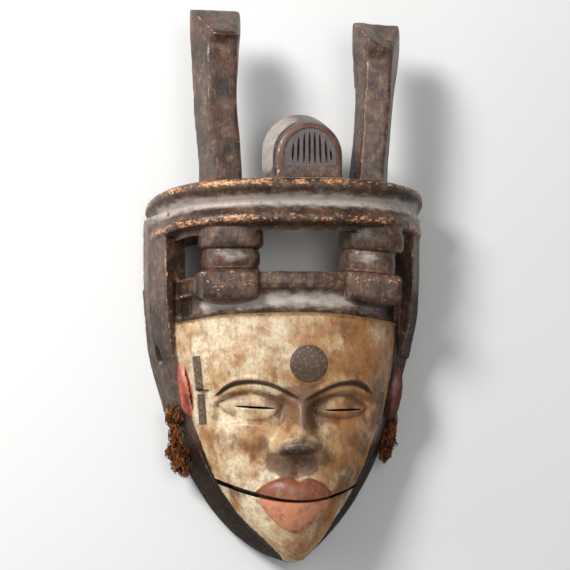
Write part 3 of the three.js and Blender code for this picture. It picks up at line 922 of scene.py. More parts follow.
@dataclass(frozen=True)
class FlutedDome:
    """The half-round block between the posts, larger behind, its front sunk and fluted."""

    x: float = 8.8
    front: float = 110.0
    back: float = 62.0
    half: float = 28.2
    straight: float = 16.5
    rise: float = 45.2
    foot: float = 74.0
    rim: float = 4.6
    sill: float = 9.0
    sunk: float = 2.4
    base: float = 91.5
    flutes: tuple[tuple[float, float, float], ...] = (  # place across, lower and upper end
        (-13.6, 103.5, 119), (-9.0, 102, 124.5), (-4.0, 101, 128), (0.6, 100.6, 129), (5.0, 100.4, 129),
        (9.6, 100.8, 127.5), (14.6, 101.6, 122), (18.8, 104, 114),
    )

    def arch(self, half: float, tall: float, across: Array, foot: float) -> tuple[Array, Array]:
        """X and Y round an arch: up one side, over the top, down the other, and back along the foot."""
        sides = 0.16
        left = np.clip(across / sides, 0, 1)
        over = np.clip((across - sides) / (0.9 - 2 * sides), 0, 1)
        right = np.clip((across - (0.9 - sides)) / sides, 0, 1)
        bottom = np.clip((across - 0.9) / 0.1, 0, 1)
        angle = np.pi * (1.0 - over)
        spring = self.base + self.straight
        x = np.where(bottom > 0, half * (1 - 2 * bottom), half * np.cos(angle))
        y = spring + (tall - self.straight) * np.sin(angle)
        y = np.where(across < sides, foot + (spring - foot) * left, y)
        y = np.where(right > 0, spring + (foot - spring) * right, y)
        return x, np.where(bottom > 0, foot, y)

    def body(self) -> Solid:
        """The block itself."""
        wider = Line((0.0, 5.0), (0.5, 2.6), (0.94, 0.3), (0.985, -0.2), (1.0, -1.4))
        taller = Line((0.0, 10.6), (0.5, 5.4), (0.94, 0.4), (0.985, -0.2), (1.0, -1.4))

        def places(across: Array, along: Array) -> Array:
            """Round the arch across, and from the back to the front along."""
            z = self.back + (self.front - self.back) * along
            x, y = self.arch(1.0, self.rise, across, self.foot)
            x = x * (self.half + wider(along)) + self.x - 0.9 * (1.0 - along)
            y = self.foot + (y - self.foot) * (1 + taller(along) / (self.base + self.rise - self.foot))
            return np.stack([x, y, z], axis=1)

        return closed_sheet("fluted dome", 96, 40, places)

    def panel_room(self) -> Solid:
        """The shallow sunk panel in the front, with a sill that sags in the middle."""
        floor = self.base + self.sill

        def places(across: Array, along: Array) -> Array:
            """Round the panel across, and outwards from its floor along."""
            taper = 1.2 * (1.0 - along)
            x, y = self.arch(self.half - self.rim - taper, self.rise - self.rim - taper, across, floor)
            sag = 2.4 * (1.0 - (x / self.half) ** 2) * (1.0 - rise(floor, floor + 8.0, y)) - taper
            z = self.front - self.sunk + 6.0 * along
            return np.stack([x + self.x + 0.4, y - sag, z], axis=1)

        return closed_sheet("dome panel", 90, 4, places)

    def flute_rooms(self) -> Iterable[Solid]:
        """One upright groove after another."""
        for across, low, high in self.flutes:
            spot = Vector((self.x + across, (high + low) / 2, self.front - self.sunk + 0.5))
            fan = Matrix.Rotation(0.004 * across, 4, "Z")
            yield ball("flute", (1.15, (high - low) / 2, 2.8), spot, fan, 20)


@dataclass(frozen=True)
class Ear:
    """A shallow lobe behind the temple, with a hollowed shell."""

    side: Side
    x: float
    y: float
    z: float = 46.0
    half: tuple[float, float, float] = (9, 26, 13)
    shell_half: tuple[float, float, float] = (5, 17, 7)
    painted: tuple[float, float, float] = (9.6, 26.6, 13.6)  # half sizes of what the red covers

    def turned(self) -> Matrix:
        """The ear's own tilt."""
        side = self.side.value
        return Matrix.Rotation(-side * 0.12, 4, "Z") @ Matrix.Rotation(side * 0.35, 4, "Y")

    def lobe(self) -> Solid:
        """The lobe."""
        return ball("ear", self.half, Vector((self.x, self.y, self.z)), self.turned())

    def shell(self) -> Solid:
        """The hollow in the lobe."""
        spot = Vector((self.x + self.side.value * 8.0, self.y, self.z + 2.0))
        return ball("ear shell", self.shell_half, spot, self.turned(), 24)

    def reach(self, places: Array) -> Array:
        """How far inside the lobe each place lies, in millimetres."""
        inverse = np.array(self.turned().inverted().to_3x3())
        local = (places - np.array([self.x, self.y, self.z])) @ inverse.T
        return (1.0 - np.linalg.norm(local / np.array(self.painted), axis=1)) * self.half[2]


EARS = (Ear(Side.LEFT, -87.0, -88.0, 50.0), Ear(Side.RIGHT, 92.5, -93.0))


# Reading the shape of a finished mesh


class Lumps:
    """Smooth seeded noise over space, from -1 to 1."""

    def __init__(self, seed: int, *sizes: float) -> None:
        """Fills the table of heights.

        Args:
            seed: names this noise.
            sizes: width of a lump in millimetres, one for all directions or one for each.
        """
        self.table = np.random.default_rng(seed).uniform(-1.0, 1.0, 4096)
        self.sizes = np.array(sizes if len(sizes) == 3 else sizes * 3, float)

    def __call__(self, places: Array) -> Array:
        """The noise at each place."""
        scaled = places / self.sizes
        cell = np.floor(scaled).astype(np.int64)
        part = scaled - cell
        part = part * part * (3.0 - 2.0 * part)
        total = np.zeros(len(places))
        for corner in range(8):
            step = np.array([corner & 1, corner >> 1 & 1, corner >> 2 & 1])
            share = np.prod(np.where(step, part, 1.0 - part), axis=1)
            mixed = (cell + step) @ np.array([73856093, 19349663, 83492791])
            total += share * self.table[(mixed ^ (mixed >> 13)) & 4095]
        return total


class Skin:
    """A mesh's vertices with their neighbours, for smoothing and for finding edges and hollows."""

    def __init__(self, mesh: Mesh) -> None:
        """Reads the mesh."""
        self.mesh = mesh
        self.places = read_places(mesh)
        ends = np.empty(len(mesh.edges) * 2, np.int32)
        mesh.edges.foreach_get("vertices", ends)
        self.a, self.b = ends.reshape(-1, 2).T
        size = len(self.places)
        count = np.bincount(self.a, minlength=size) + np.bincount(self.b, minlength=size)
        self.share = 1.0 / np.maximum(count, 1)

    def spread(self, values: Array, times: int) -> Array:
        """Averages values over their neighbours a number of times."""
        size = len(self.places)
        for _ in range(times):
            total = np.bincount(self.a, values[self.b], size) + np.bincount(self.b, values[self.a], size)
            values = 0.5 * values + 0.5 * total * self.share
        return values

    def smoothed(self, times: int) -> Array:
        """Where the vertices would lie if they were averaged a number of times."""
        return np.stack([self.spread(axis, times) for axis in self.places.T], axis=1)

    def bulge(self, times: int) -> Array:
        """How far each vertex stands out of the smoothed skin, in millimetres; hollows are negative."""
        return np.sum((self.places - self.smoothed(times)) * read_normals(self.mesh), axis=1)

    def push(self, amount: Array) -> None:
        """Moves every vertex along its normal."""
        self.places = self.places + read_normals(self.mesh) * amount[:, None]
        write_places(self.mesh, self.places)


def paint(mesh: Mesh, layers: dict[str, Array]) -> None:
    """Stores the named layers, a value for each vertex, for the mesh's material to read."""
    for name, values in layers.items():
        stored = mesh.attributes.new(name, "FLOAT", "POINT")
        stored.data.foreach_set("value", values.astype(np.float32))


def carry(source: Array, values: Sequence[Array], target: Array) -> list[Array]:
    """Takes values from the nearest of some places to others.

    Args:
        source: places that have the values.
        values: arrays with one value for each of them.
        target: places that need them.

    Returns:
        The arrays for the target.
    """
    tree = KDTree(len(source))
    for i, place in enumerate(source):
        tree.insert(place, i)
    tree.balance()
    nearest = np.array([tree.find(place)[1] for place in target])
    return [value[nearest] for value in values]


# Wear and tool marks


@dataclass(frozen=True)
class Bar:
    """A raised bar of scars at a temple, drawn by its two ends."""

    top: tuple[float, float]
    foot: tuple[float, float]
    half: float
    proud: float = 1.5

    def measure(self, x: Array, y: Array) -> tuple[Array, Array]:
        """Place down the bar in millimetres, and how far inside its outline a point lies."""
        top, foot = np.array(self.top), np.array(self.foot)
        long = np.linalg.norm(foot - top)
        line = (foot - top) / long
        down = (x - top[0]) * line[0] + (y - top[1]) * line[1]
        across = (x - top[0]) * line[1] - (y - top[1]) * line[0]
        inside = np.minimum(self.half - np.abs(across), np.minimum(down, long - down))
        return down, inside

    def height(self, x: Array, y: Array) -> Array:
        """How far the bar stands proud, with its crossed cuts."""
        down, inside = self.measure(x, y)
        across = self.half - np.abs(inside)
        pitch, slant = 4.6, 0.9
        cuts = np.minimum(*(np.abs((down + s * across) % pitch - pitch / 2) for s in (slant, -slant)))
        return self.proud * rise(-0.6, 0.6, inside) - 0.55 * rise(0.8, 0.2, cuts) * rise(0.0, 1.0, inside)


SCARS = (
    Bar((-82.4, -55.0), (-79.2, -88.7), 3.1),
    Bar((-78.1, -91.5), (-75.6, -119.3), 3.1),
    Bar((79.2, -91.5), (78.4, -120.9), 2.7),
    Bar((-74.9, -60.5), (-72.8, -89.0), 2.6, 0.7),
)
SCAR_SLOT = Bar((-80.9, -89.9), (-72.4, -90.1), 0.9, -2.6)


def panel_reach(x: Array, y: Array, z: Array) -> Array:
    """How far inside one of the two small panels at the band's left end a point lies, in millimetres."""
    panels = ((-99.5, -85.5, 1.6, 13.4), (-99.0, -85.0, -15.4, -1.8))
    reach = [
        np.minimum.reduce([x - left, right - x, y - low, high - y]) for left, right, low, high in panels
    ]
    return np.where(z > 40.0, np.maximum(*reach), -9.0)


@dataclass(frozen=True)
class Wood:
    """How the wood has been worked and worn: knife facets, bruised arrises, chips and a knot hole."""

    facets: Lumps = field(default_factory=lambda: Lumps(11, 15.0, 22.0, 15.0))
    ripple: Lumps = field(default_factory=lambda: Lumps(12, 4.5, 9.0, 4.5))
    bruises: Lumps = field(default_factory=lambda: Lumps(13, 6.0))
    grain: Lumps = field(default_factory=lambda: Lumps(14, 1.6, 26.0, 1.6))
    bites: Lumps = field(default_factory=lambda: Lumps(15, 8.0, 5.0, 8.0))
    knot_at: tuple[float, float, float] = (-107.0, -62.0, 24.0)
    knot_half: tuple[float, float, float] = (12.0, 10.5, 5.2)
    knot_dark: tuple[float, float, float] = (12.0, 10.0, 5.6)  # half sizes of its dark colour
    knot_depth: float = 5.0

    def on_face(self, places: Array, normals: Array) -> Array:
        """1 where a vertex belongs to the carved front, 0 elsewhere."""
        x, z = places[:, 0], places[:, 2]
        y = FACE.unleaned(places[:, 1], z)
        s = np.abs((x - FACE.centre) / FACE.edge_half(y))
        near = np.where(y > FACE.hairline - 6.0, 1.3, 3.6)
        away = np.abs(z - FACE.height(x, y))
        within = (s < 0.975) & (y < FACE.band_top - 0.7) & (y > -238.5)
        return (within & (away < near) & (normals[:, 2] > -0.2)).astype(float)

    def sharpen(self, skin: Skin) -> None:
        """Brings the front's vertices onto the drawn carving, so that its edges are crisp."""
        places = skin.places
        front = self.on_face(places, read_normals(skin.mesh)) > 0.5
        y = FACE.unleaned(places[front, 1], places[front, 2])
        places[front, 2] = FACE.height(places[front, 0], y)
        skin.places = places
        write_places(skin.mesh, places)

    def work(self, skin: Skin, calm: Array) -> dict[str, Array]:
        """Leaves the tool marks and the wear in the skin.

        Args:
            skin: the mesh that is worked.
            calm: 1 where the carver finished the wood smoothly, 0 where it is rough.

        Returns:
            The layers of wear, by name.
        """
        places = skin.places
        edges = skin.bulge(6)
        broad = skin.bulge(40)
        rough = 1.0 - 0.72 * calm
        y = FACE.unleaned(places[:, 1], places[:, 2])
        standing = rise(94.0, 100.0, y)
        skin.places = places + (skin.smoothed(16) - places) * standing[:, None]
        skin.places = skin.places + (skin.smoothed(30) - skin.places) * rise(186.0, 206.0, y)[:, None]
        write_places(skin.mesh, skin.places)
        bruises = self.bruises(places)
        bite = rise(0.5, 0.75, self.bites(places) + 0.35 * bruises)
        bite = bite * rise(0.08, 0.2, edges) * (1.0 - 0.9 * calm) * (1.0 - 0.6 * standing)
        marks = (0.36 * self.facets(places) + 0.16 * self.ripple(places)) * rough * (1.0 - 0.45 * standing)
        marks = marks + 0.05 * self.grain(places) - 0.34 * rise(0.1, 0.8, bruises) * rise(0.15, 0.4, edges)
        skin.push(marks - 0.7 * bite)
        self.open_knot(skin)
        worn = rise(0.1, 0.42, edges) * 0.75 + rise(0.5, 1.8, broad) * 0.45
        sunk = rise(0.06, 0.4, -edges) * 0.6 + rise(0.4, 2.2, -broad) * 0.7
        return {
            "worn": np.clip(worn, 0.0, 1.0),
            "sunk": np.clip(sunk, 0.0, 1.0) * (1 - 0.5 * calm),
            "chip": bite,
        }

    def open_knot(self, skin: Skin) -> None:
        """Sinks the oval knot hole in the left flank."""
        off = (skin.places - np.array(self.knot_at)) / np.array(self.knot_half)
        pit = np.clip(1.0 - np.sum(off**2, axis=1), 0.0, 1.0)
        skin.push(-self.knot_depth * pit**0.7)

    def sink_panels(self, skin: Skin) -> None:
        """Sinks the two small panels at the band's left end, with a ridge between them."""
        x, z = skin.places[:, 0], skin.places[:, 2]
        y = FACE.unleaned(skin.places[:, 1], z)
        skin.push(-1.8 * rise(-0.8, 1.6, panel_reach(x, y, z)))

    def cut_scars(self, skin: Skin) -> None:
        """Raises the bars of scars at the temples and cuts the slot between two of them."""
        normals = read_normals(skin.mesh)
        x, y, z = skin.places.T
        outside = (z > 52.0) & (np.abs(x) > 60.0) & (np.abs(x) < 92.0) & (y > -125.0) & (y < -55.0)
        amount = sum(scar.height(x, y) for scar in SCARS) + SCAR_SLOT.height(x, y)
        skin.push(np.where(outside & (normals[:, 2] > 0.0), amount, 0.0))


# The two carved pieces

# The clay's two edges, as a height up the face and the place across it
CLAY_LEFT = Line(
    (-241, -8), (-235, -11), (-222, -21.5), (-202, -40), (-186, -53), (-166, -63.8), (-149, -71),
    (-132, -77.2), (-119, -82.5), (-62, -95), (-33, -98),
)
CLAY_RIGHT = Line(
    (-241, 14), (-235, 17.4), (-222, 26), (-202, 39), (-186, 49), (-166, 60.5), (-149, 67.6),
    (-132, 73.5), (-119, 79.5), (-99, 85), (-62, 90), (-33, 92.5),
)


OUTSIDE = -20.0  # the reach of a painted place where it can't be
BEHIND = -50.0  # what is taken from the reach of a place on the face for vertices behind it
SHADE_AND_STAINS = (  # how much, place, and half width and height of each patch on the clay, mostly painted shade with some brown stains; a negative amount paints the chin lighter
    (1.2, 4, -98, 11, 15), (0.8, 3, -114, 8, 10), (0.5, -9, -120, 6, 12), (0.2, -50, -130, 26, 18),
    (0.2, -26, -148, 14, 10), (1.1, -12, -100, 8, 15), (1.2, 18, -102, 7, 17), (0.6, 30, -118, 10, 8),
    (5.0, -1, -152, 15, 8), (0.6, -50, -172, 16, 9), (0.8, 46, -172, 15, 14), (0.5, 72, -100, 12, 30),
    (0.4, 66, -135, 16, 22), (0.35, -84, -60, 8, 40), (0.5, -30, -138, 12, 10), (0.55, 24, -138, 9, 12),
    (0.45, 2, -84, 9, 8), (-0.9, 4, -224, 26, 16),
)
OCHRE = (  # the same for the patches where the clay has yellowed most
    (0.5, -50, -132, 24, 18), (0.9, 46, -58, 34, 28), (0.6, 52, -128, 22, 26), (0.25, 6, -226, 26, 16),
)


def seat(piece: Solid) -> None:
    """Takes a finished piece from the drawing's millimetres to its place on the frame."""
    piece.data.transform(Matrix.Scale(METRE, 4) @ Matrix.Translation(SEAT))
    piece.data.shade_smooth()
    piece.data.set_sharp_from_angle(angle=math.radians(38))


@dataclass
class Carving:
    """What the two carved pieces share: the form, the working of its skin, and the colour on it."""

    pitch: float = 1.05
    triangles: int = 186000
    chin_bend: float = 4.0
    wood: Wood = field(default_factory=Wood)
    dome: FlutedDome = field(default_factory=FlutedDome)

    def form(self) -> Solid:
        """Joins the plain forms; each piece has its own."""
        raise NotImplementedError

    def cut(self, piece: Solid) -> None:
        """Makes the clean late cuts; each piece has its own."""
        raise NotImplementedError

    def clay(self, places: Array, normals: Array) -> Array:
        """How far inside the pale clay a vertex lies, in millimetres, and below zero on bare wood."""
        x, z = places[:, 0], places[:, 2]
        y = FACE.unleaned(places[:, 1], z)
        sides = np.minimum(x - CLAY_LEFT(y), CLAY_RIGHT(y) - x)
        inside = np.minimum(FACE.hair(x) - 1.6 - y, sides)
        front = z - (FACE.edge_height(y) - 7.0 + 11.0 * rise(-150.0, -200.0, y))
        return np.minimum(np.minimum(inside, front), 6.0 + 12.0 * np.minimum(normals[:, 2] - 0.12, 0.0) * 8.0)

    @staticmethod
    def patch(x: Array, y: Array, at_x: float, at_y: float, wide: float, tall: float) -> Array:
        """A soft oval patch, from 1 at its middle to 0."""
        return np.exp(-(((x - at_x) / wide) ** 2) - ((y - at_y) / tall) ** 2)

    @staticmethod
    def groove_shade(x: Array, y: Array, z: Array) -> Array:
        """How far inside the painted shade of a cut between the pillars' rounds a point lies, in millimetres.
        """
        found = np.full(len(x), OUTSIDE)
        for pillar in PILLARS:
            drawn = y - FACE.crown_lean * (FACE.crown_front - z) + pillar.rise_in_front
            drawn = drawn + pillar.tilt * (x - pillar.x) + pillar.straighter * (pillar.z + pillar.deep - z)
            near = (np.abs(x - pillar.x) < 31.0) & (z > 55.0)
            for cut in pillar.cuts:
                found = np.maximum(found, np.where(near, 0.9 - np.abs(drawn - cut), OUTSIDE))
        return found

    def stains(self, x: Array, y: Array) -> Array:
        """Painted shade on the clay at the eye corners and lid folds, the nose sides, under the nose, the
        mouth corners and the right side, with some brown stains and a lighter chin.
        """
        total = sum(most * self.patch(x, y, *place) for most, *place in SHADE_AND_STAINS)
        # painted shade along each eye's lid folds and lower edge
        for eye in FACE.eyes:
            near = rise(1.15, 0.85, np.abs((x - eye.x) / eye.half))
            upper, lower = y - eye.upper(x), y - eye.lower(x)
            lid = rise(0.0, 2.0, y - eye.parting(x)) * rise(1.0, -1.0, upper)
            total = total + near * (0.9 * hill(upper, 2.4) + 0.45 * hill(lower, 2.2) + 0.3 * lid)
        return total

    def brows(self, x: Array, y: Array) -> Array:
        """How far inside the dark line under a brow a point lies, in millimetres."""
        under = FACE.brow(x) - y
        half = (2.4 + 1.2 * rise(34.0, 60.0, np.abs(x - 0.8))) * FACE.brow_fade(x) ** 0.6
        return half - np.abs(under - 1.2) - 0.6 * (1.0 - FACE.brow_fade(x))

    def on_ring(self, x: Array, y: Array, z: Array) -> Array:
        """1 on the outer face of the half ring, 0 elsewhere."""
        outer = sum(
            np.abs(at / half) ** HalfRing.square
            for at, half in ((x - HalfRing.middle, HalfRing.half), (z, HalfRing.front))
        )
        top = rise(HalfRing.top + 0.6, HalfRing.top - 0.6, y)
        return rise(0.66, 0.8, outer) * rise(40.0, 46.0, y) * top

    def on_band(self, x: Array, y: Array, z: Array) -> Array:
        """1 on the front of the band above the hairline, 0 elsewhere."""
        return rise(5.0, 2.0, np.abs(z - FACE.height(x, y))) * rise(-29.0, -26.0, y) * rise(18.0, 12.0, y)

    def by_dome(self, places: Array) -> Array:
        """Whether each vertex belongs to the half-round block between the posts."""
        return (places[:, 1] > 97.0) & (np.abs(places[:, 0] - self.dome.x) < 36.0)

    def chipped(self, x: Array, y: Array, z: Array, placed: Array) -> Array:
        """Where fresh chips lie thick: on the ring's two ridges and the blocks under the pillars."""
        down = y - HalfRing.top
        ridges = np.maximum(hill(down + 4.6, 4.2), 0.9 * hill(down + 34.6, 3.8))
        blocks = (np.abs(np.abs(x - 3.0) - 57.0) < 31.0) & (z > 78.0) & (placed > 0.0)
        on_blocks = 0.55 * hill(placed + PILLARS[0].rise_in_front - 1.5, 13.0)
        return np.maximum(self.on_ring(x, y, z) * ridges, np.where(blocks, on_blocks, 0.0))

    def lit(self, places: Array, normals: Array) -> Array:
        """Painted highlights on the ring's top edge, the drums and the dome's lit side; the cove and the band
        paler, part highlight, part rub.
        """
        x, placed, z = places.T
        y = FACE.unleaned(placed, z)
        top, ring = HalfRing.top, self.on_ring(x, y, z)
        # painted highlights in the middle of each drum
        drum = placed + PILLARS[0].rise_in_front
        drums = self.patch(x, drum, -54, 27, 13, 5) + self.patch(x, drum, 60, 25, 10, 6)
        # the dome's side that faces the light gets a painted highlight
        beside = 0.85 * rise(0.0, -0.5, normals[:, 0]) * self.by_dome(places)
        return np.maximum.reduce([
            ring * hill(y - top + 19.5, 5.4) * (0.4 + 0.6 * rise(15.0, 60.0, z)),
            0.85 * rise(82.0, 74.0, np.abs(x)) * self.on_band(x, y, z) * hill(y + 8.0, 8.0),
            0.62 * drums * rise(90.0, 98.0, z),
            0.8 * ring * rise(top - 1.6, top - 0.4, y),
            beside * rise(104.0, 98.0, z),
        ])

    def smoked(self, places: Array, normals: Array) -> Array:
        """Painted shade, the darkest wood: flanks and jaw walls turned from the light, more on the right, the
        ring under its top, the small panels.
        """
        x, placed, z = places.T
        y = FACE.unleaned(placed, z)
        # painted shade on the walls that turn from the light, more on the right
        flanks = np.maximum.reduce([
            rise(-120.0, -150.0, y),
            0.75 * rise(74.0, 90.0, x) * rise(20.0, 0.0, y),
            0.4 * rise(-70.0, -90.0, x) * rise(20.0, -10.0, y),
        ])
        return np.maximum.reduce([
            flanks * rise(0.9, 0.6, normals[:, 2]),
            # painted shade under the ring's top ridge
            0.5 * self.on_ring(x, y, z) * hill(y - HalfRing.top + 11.0, 4.0),
            # painted shade in the small sunk panels
            0.7 * rise(-0.5, 2.5, panel_reach(x, y, z)),
        ])

    def layers(self, mesh: Mesh) -> dict[str, Array]:
        """The painted places, as distances in millimetres or as shares from 0 to 1, by name."""
        places, normals = read_places(mesh), read_normals(mesh)
        x, placed, z = places.T
        y = FACE.unleaned(placed, z)
        dome, by_dome = self.dome, self.by_dome(places)
        fins = by_dome & (z > dome.front - 4.4) & (z < dome.front - 0.8)
        flutes = by_dome & (z > 100.0) & (z < dome.front - dome.sunk - 1.0) & (normals[:, 2] > 0.1)
        nose = 8.0 * (1.0 - np.hypot((x - 1.0) / 21.0, (y + 136.8) / 8.0))
        knot = np.linalg.norm((places - np.array(Wood.knot_at)) / Wood.knot_dark, axis=1)
        front = {
            "lips": FACE.lip_reach(x, y),
            "disc": DISC.reach(x, y),
            "scars": np.max([scar.measure(x, y)[1] for scar in (*SCARS[:3], SCAR_SLOT)], axis=0),
            "brows": self.brows(x, y),
        }
        return {
            "clay": self.clay(places, normals),
            **{name: reach + np.where(z > 45.0, 0.0, BEHIND) for name, reach in front.items()},
            "nose_tip": nose + 5.0 * self.patch(x, y, 3, -125, 6, 5) + np.where(z > 96.0, 0.0, BEHIND),
            "ears": np.max([ear.reach(places) for ear in EARS], axis=0),
            "ridge": self.chipped(x, y, z, placed),
            "bead": np.where(self.on_band(x, y, z) > 0.5, 1.2 - np.abs(y - FACE.hair(x) + 0.9), OUTSIDE),
            # painted shade, black in the cuts between the pillars' rounds and down the dome's flutes
            "groove": np.maximum(self.groove_shade(x, y, z), np.where(flutes, 1.5, OUTSIDE)),
            "panel": np.where(fins, 2.0, OUTSIDE),
            "rim": np.where(by_dome & (np.abs(z - dome.front) < 2.2), 1.6, OUTSIDE),
            "knot": 6.0 * (1.0 - knot),
            # painted highlight, partly rub, on the wood
            "lit": self.lit(places, normals),
            # painted shade on the wood
            "smoked": self.smoked(places, normals),
            # painted shade on the clay, with some stains
            "stain": self.stains(x, y),
            "ochre": sum(most * self.patch(x, y, *place) for most, *place in OCHRE),
            "lip_side": y - FACE.split(x),
            # which ear: the right one takes the painted shade
            "ear_side": x,
        }

    def build(self, name: str) -> Solid:
        """Makes the piece: form, skin, carving, wear, clean cuts and painted places."""
        piece = remesh(self.form(), self.pitch)
        LOG.info("%s: %d faces in the even skin", name, len(piece.data.polygons))
        skin = Skin(piece.data)
        self.wood.sharpen(skin)
        self.wood.cut_scars(skin)
        self.wood.sink_panels(skin)
        front = skin.spread(self.wood.on_face(skin.places, read_normals(skin.mesh)), 3)
        wear = self.wood.work(skin, front)
        worked = skin.places
        thin_out(piece, self.triangles)
        self.cut(piece)
        piece.name = piece.data.name = name
        carried = carry(worked, list(wear.values()), read_places(piece.data))
        paint(piece.data, {**self.layers(piece.data), **dict(zip(wear, carried))})
        self.bend_chin(piece.data)
        seat(piece)
        return piece

    def bend_chin(self, mesh: Mesh) -> None:
        """Bends the chin's tip to the picture's right, more in front than behind."""
        places = read_places(mesh)
        bend = self.chin_bend * rise(-200.0, -240.0, places[:, 1]) * rise(5.0, 55.0, places[:, 2])
        places[:, 0] += bend
        write_places(mesh, places)


@dataclass
class MaskBody(Carving):
    """The face, its flanks, the band, the pillars and the crown, all of one block."""

    tuft_hole: Vector = field(default_factory=lambda: Vector((0.0, -112.0, 32.0)))
    tuft_hole_radius: float = 4.0

    def form(self) -> Solid:
        """Joins the block, the posts of its sides, the pillars, the ears and the crown."""
        body = Block().build("mask body")
        carve_all(body, (side_post(plan) for plan in SIDE_POSTS), Cut.UNITE)
        carve_all(body, (pillar.build() for pillar in PILLARS), Cut.UNITE)
        for ear in EARS:
            carve(body, ear.lobe(), Cut.UNITE)
            carve(body, ear.shell(), Cut.TAKE_AWAY)
        carve(body, hollow(), Cut.TAKE_AWAY)
        crown = (HalfRing().build(), self.dome.body(), *(post.build() for post in CREST_POSTS))
        carve_all(body, crown, Cut.UNITE)
        return carve(body, all_below(-0.8), Cut.TAKE_AWAY)

    def cut(self, piece: Solid) -> None:
        """Sinks the dome's front, and opens the mouth, the arms' room, the eyes and the lashing's holes."""
        across = Vector((FAR, 0, 0))
        carve_all(piece, (
            self.dome.panel_room(),
            *self.dome.flute_rooms(),
            below_mouth(-FACE.gap / 2, 1.6),
            *(HINGE.arm_room(HINGE.gap, turn) for turn in HINGE.turns),
            *(eye.slit_room() for eye in FACE.eyes),
            rod("hole", self.tuft_hole_radius, self.tuft_hole - across, self.tuft_hole + across),
            all_below(0.0),
        ), Cut.TAKE_AWAY)


@dataclass
class LowerJaw(Carving):
    """The jaw, with the lower lip, the chin and the two dark arms that run up behind the cheeks."""

    pitch: float = 0.8
    triangles: int = 120000

    def form(self) -> Solid:
        """Takes the block from a little above the mouth and the arms down."""
        jaw = carve(Block().build("jaw"), hollow(), Cut.TAKE_AWAY)
        above = bar("above", Vector((-FAR, -118.0, -2 * BELOW)), Vector((FAR, FAR, FAR)))
        return carve(jaw, above, Cut.TAKE_AWAY)

    def cut(self, piece: Solid) -> None:
        """Parts the jaw from the face and opens its pin hole."""
        room = carve(below_mouth(FACE.gap / 2), HINGE.arm_room(0.0), Cut.UNITE)
        carve(piece, room, Cut.KEEP_COMMON)
        carve_all(piece, (HINGE.heel_room(), HINGE.pin_room()), Cut.TAKE_AWAY)


# The lashings


@dataclass(frozen=True)
class FibreTie:
    """A lashing of plant fibre: a tuft at the body's hole, a twist, and a bundle round the pin."""

    side: Side
    path: tuple[tuple[float, float, float], ...]
    reach: tuple[float, ...]
    flat: float
    seed: int
    strands: int = 460
    rings: int = 20
    sides: int = 5

    def spine(self, along: Array) -> tuple[Array, Array]:
        """The lashing's middle line and its half width, at places from 0 to 1."""
        stations = np.linspace(0.0, 1.0, len(self.path))
        middle = np.stack([Line(*zip(stations, axis))(along) for axis in zip(*self.path)], axis=-1)
        return middle, Line(*zip(stations, self.reach))(along)

    def build(self, name: str) -> Solid:
        """Twists all the strands and joins them."""
        bm = bmesh.new()
        bmesh.ops.create_grid(bm, x_segments=self.sides, y_segments=self.rings, size=1.0)
        for edge in list(bm.edges):
            edge.smooth = True
        mesh = bpy.data.meshes.new(name)
        bm.to_mesh(mesh)
        bm.free()
        grid = read_places(mesh)
        turn, along = (grid[:, 0] + 1.0) * math.pi, (grid[:, 1] + 1.0) / 2.0
        draw = np.random.default_rng(self.seed)
        whole = bmesh.new()
        for _ in range(self.strands):
            write_places(mesh, self.strand(turn, along, draw))
            whole.from_mesh(mesh)
        bpy.data.meshes.remove(mesh)
        bmesh.ops.remove_doubles(whole, verts=whole.verts, dist=0.002)
        return place_object(name, whole)

    def strand(self, turn: Array, along: Array, draw: np.random.Generator) -> Array:
        """One strand: where it starts and ends, how it winds, and how thick it is."""
        start = draw.uniform(0.0, 0.8)
        end = min(start + draw.uniform(0.12, 0.34), 1.0)
        at = start + (end - start) * along
        middle, reach = self.spine(at)
        angle = draw.uniform(0, 2 * math.pi) + at * draw.normal(9.0, 2.5)
        lumps = 1.0 + 0.22 * np.sin(at * 31.0 + 2.0 * np.sin(angle)) + 0.14 * np.sin(3.0 * angle + 12.0 * at)
        out = reach * lumps * draw.uniform(0.1, 1.0) ** 0.5
        thick = draw.uniform(0.22, 0.6) * np.sqrt(np.clip(4.0 * along * (1 - along) + 0.02, 0, 1))
        thick = np.where((along < 1e-6) | (along > 1 - 1e-6), 0.0, thick)
        local = np.stack([out * np.cos(angle) * self.flat, 0 * at, out * np.sin(angle)], axis=-1)
        waves, starts = draw.uniform(30, 75, 3), draw.uniform(0, 6, 3)
        curl = draw.uniform(0.4, 1.8) * np.sin(at[:, None] * waves + starts)
        tube = np.stack([thick * np.cos(turn), 0.3 * thick * np.sin(turn), thick * np.sin(turn)], axis=-1)
        return middle + local + curl + tube


TIES = {
    "fibre_tie_left": FibreTie(
        side=Side.LEFT, seed=31, flat=1.0,
        path=((-97.5, -101, 35), (-98, -112, 35), (-96.5, -124, 33), (-95.5, -134, 31), (-94.5, -146, 30),
              (-90.5, -158, 31), (-87.5, -167, 34)),
        reach=(4.5, 8.4, 3.8, 4.6, 9.2, 7.4, 2.6),
    ),
    "fibre_tie_right": FibreTie(
        side=Side.RIGHT, seed=37, flat=0.9,
        path=((96.5, -106, 36), (96, -117, 35), (95, -128, 33), (93, -139, 31), (90.5, -148, 32),
              (88, -157, 34)),
        reach=(2.2, 4.0, 4.4, 6.6, 5.8, 2.0),
    ),
}


# Finishes


def paint_colour(code: str) -> tuple[float, float, float, float]:
    """Turns an sRGB hex value to the linear colour that a shader takes."""
    parts = [int(code[i:i + 2], 16) / 255.0 for i in (1, 3, 5)]
    linear = [p / 12.92 if p <= 0.04045 else ((p + 0.055) / 1.055) ** 2.4 for p in parts]
    return (*linear, 1.0)


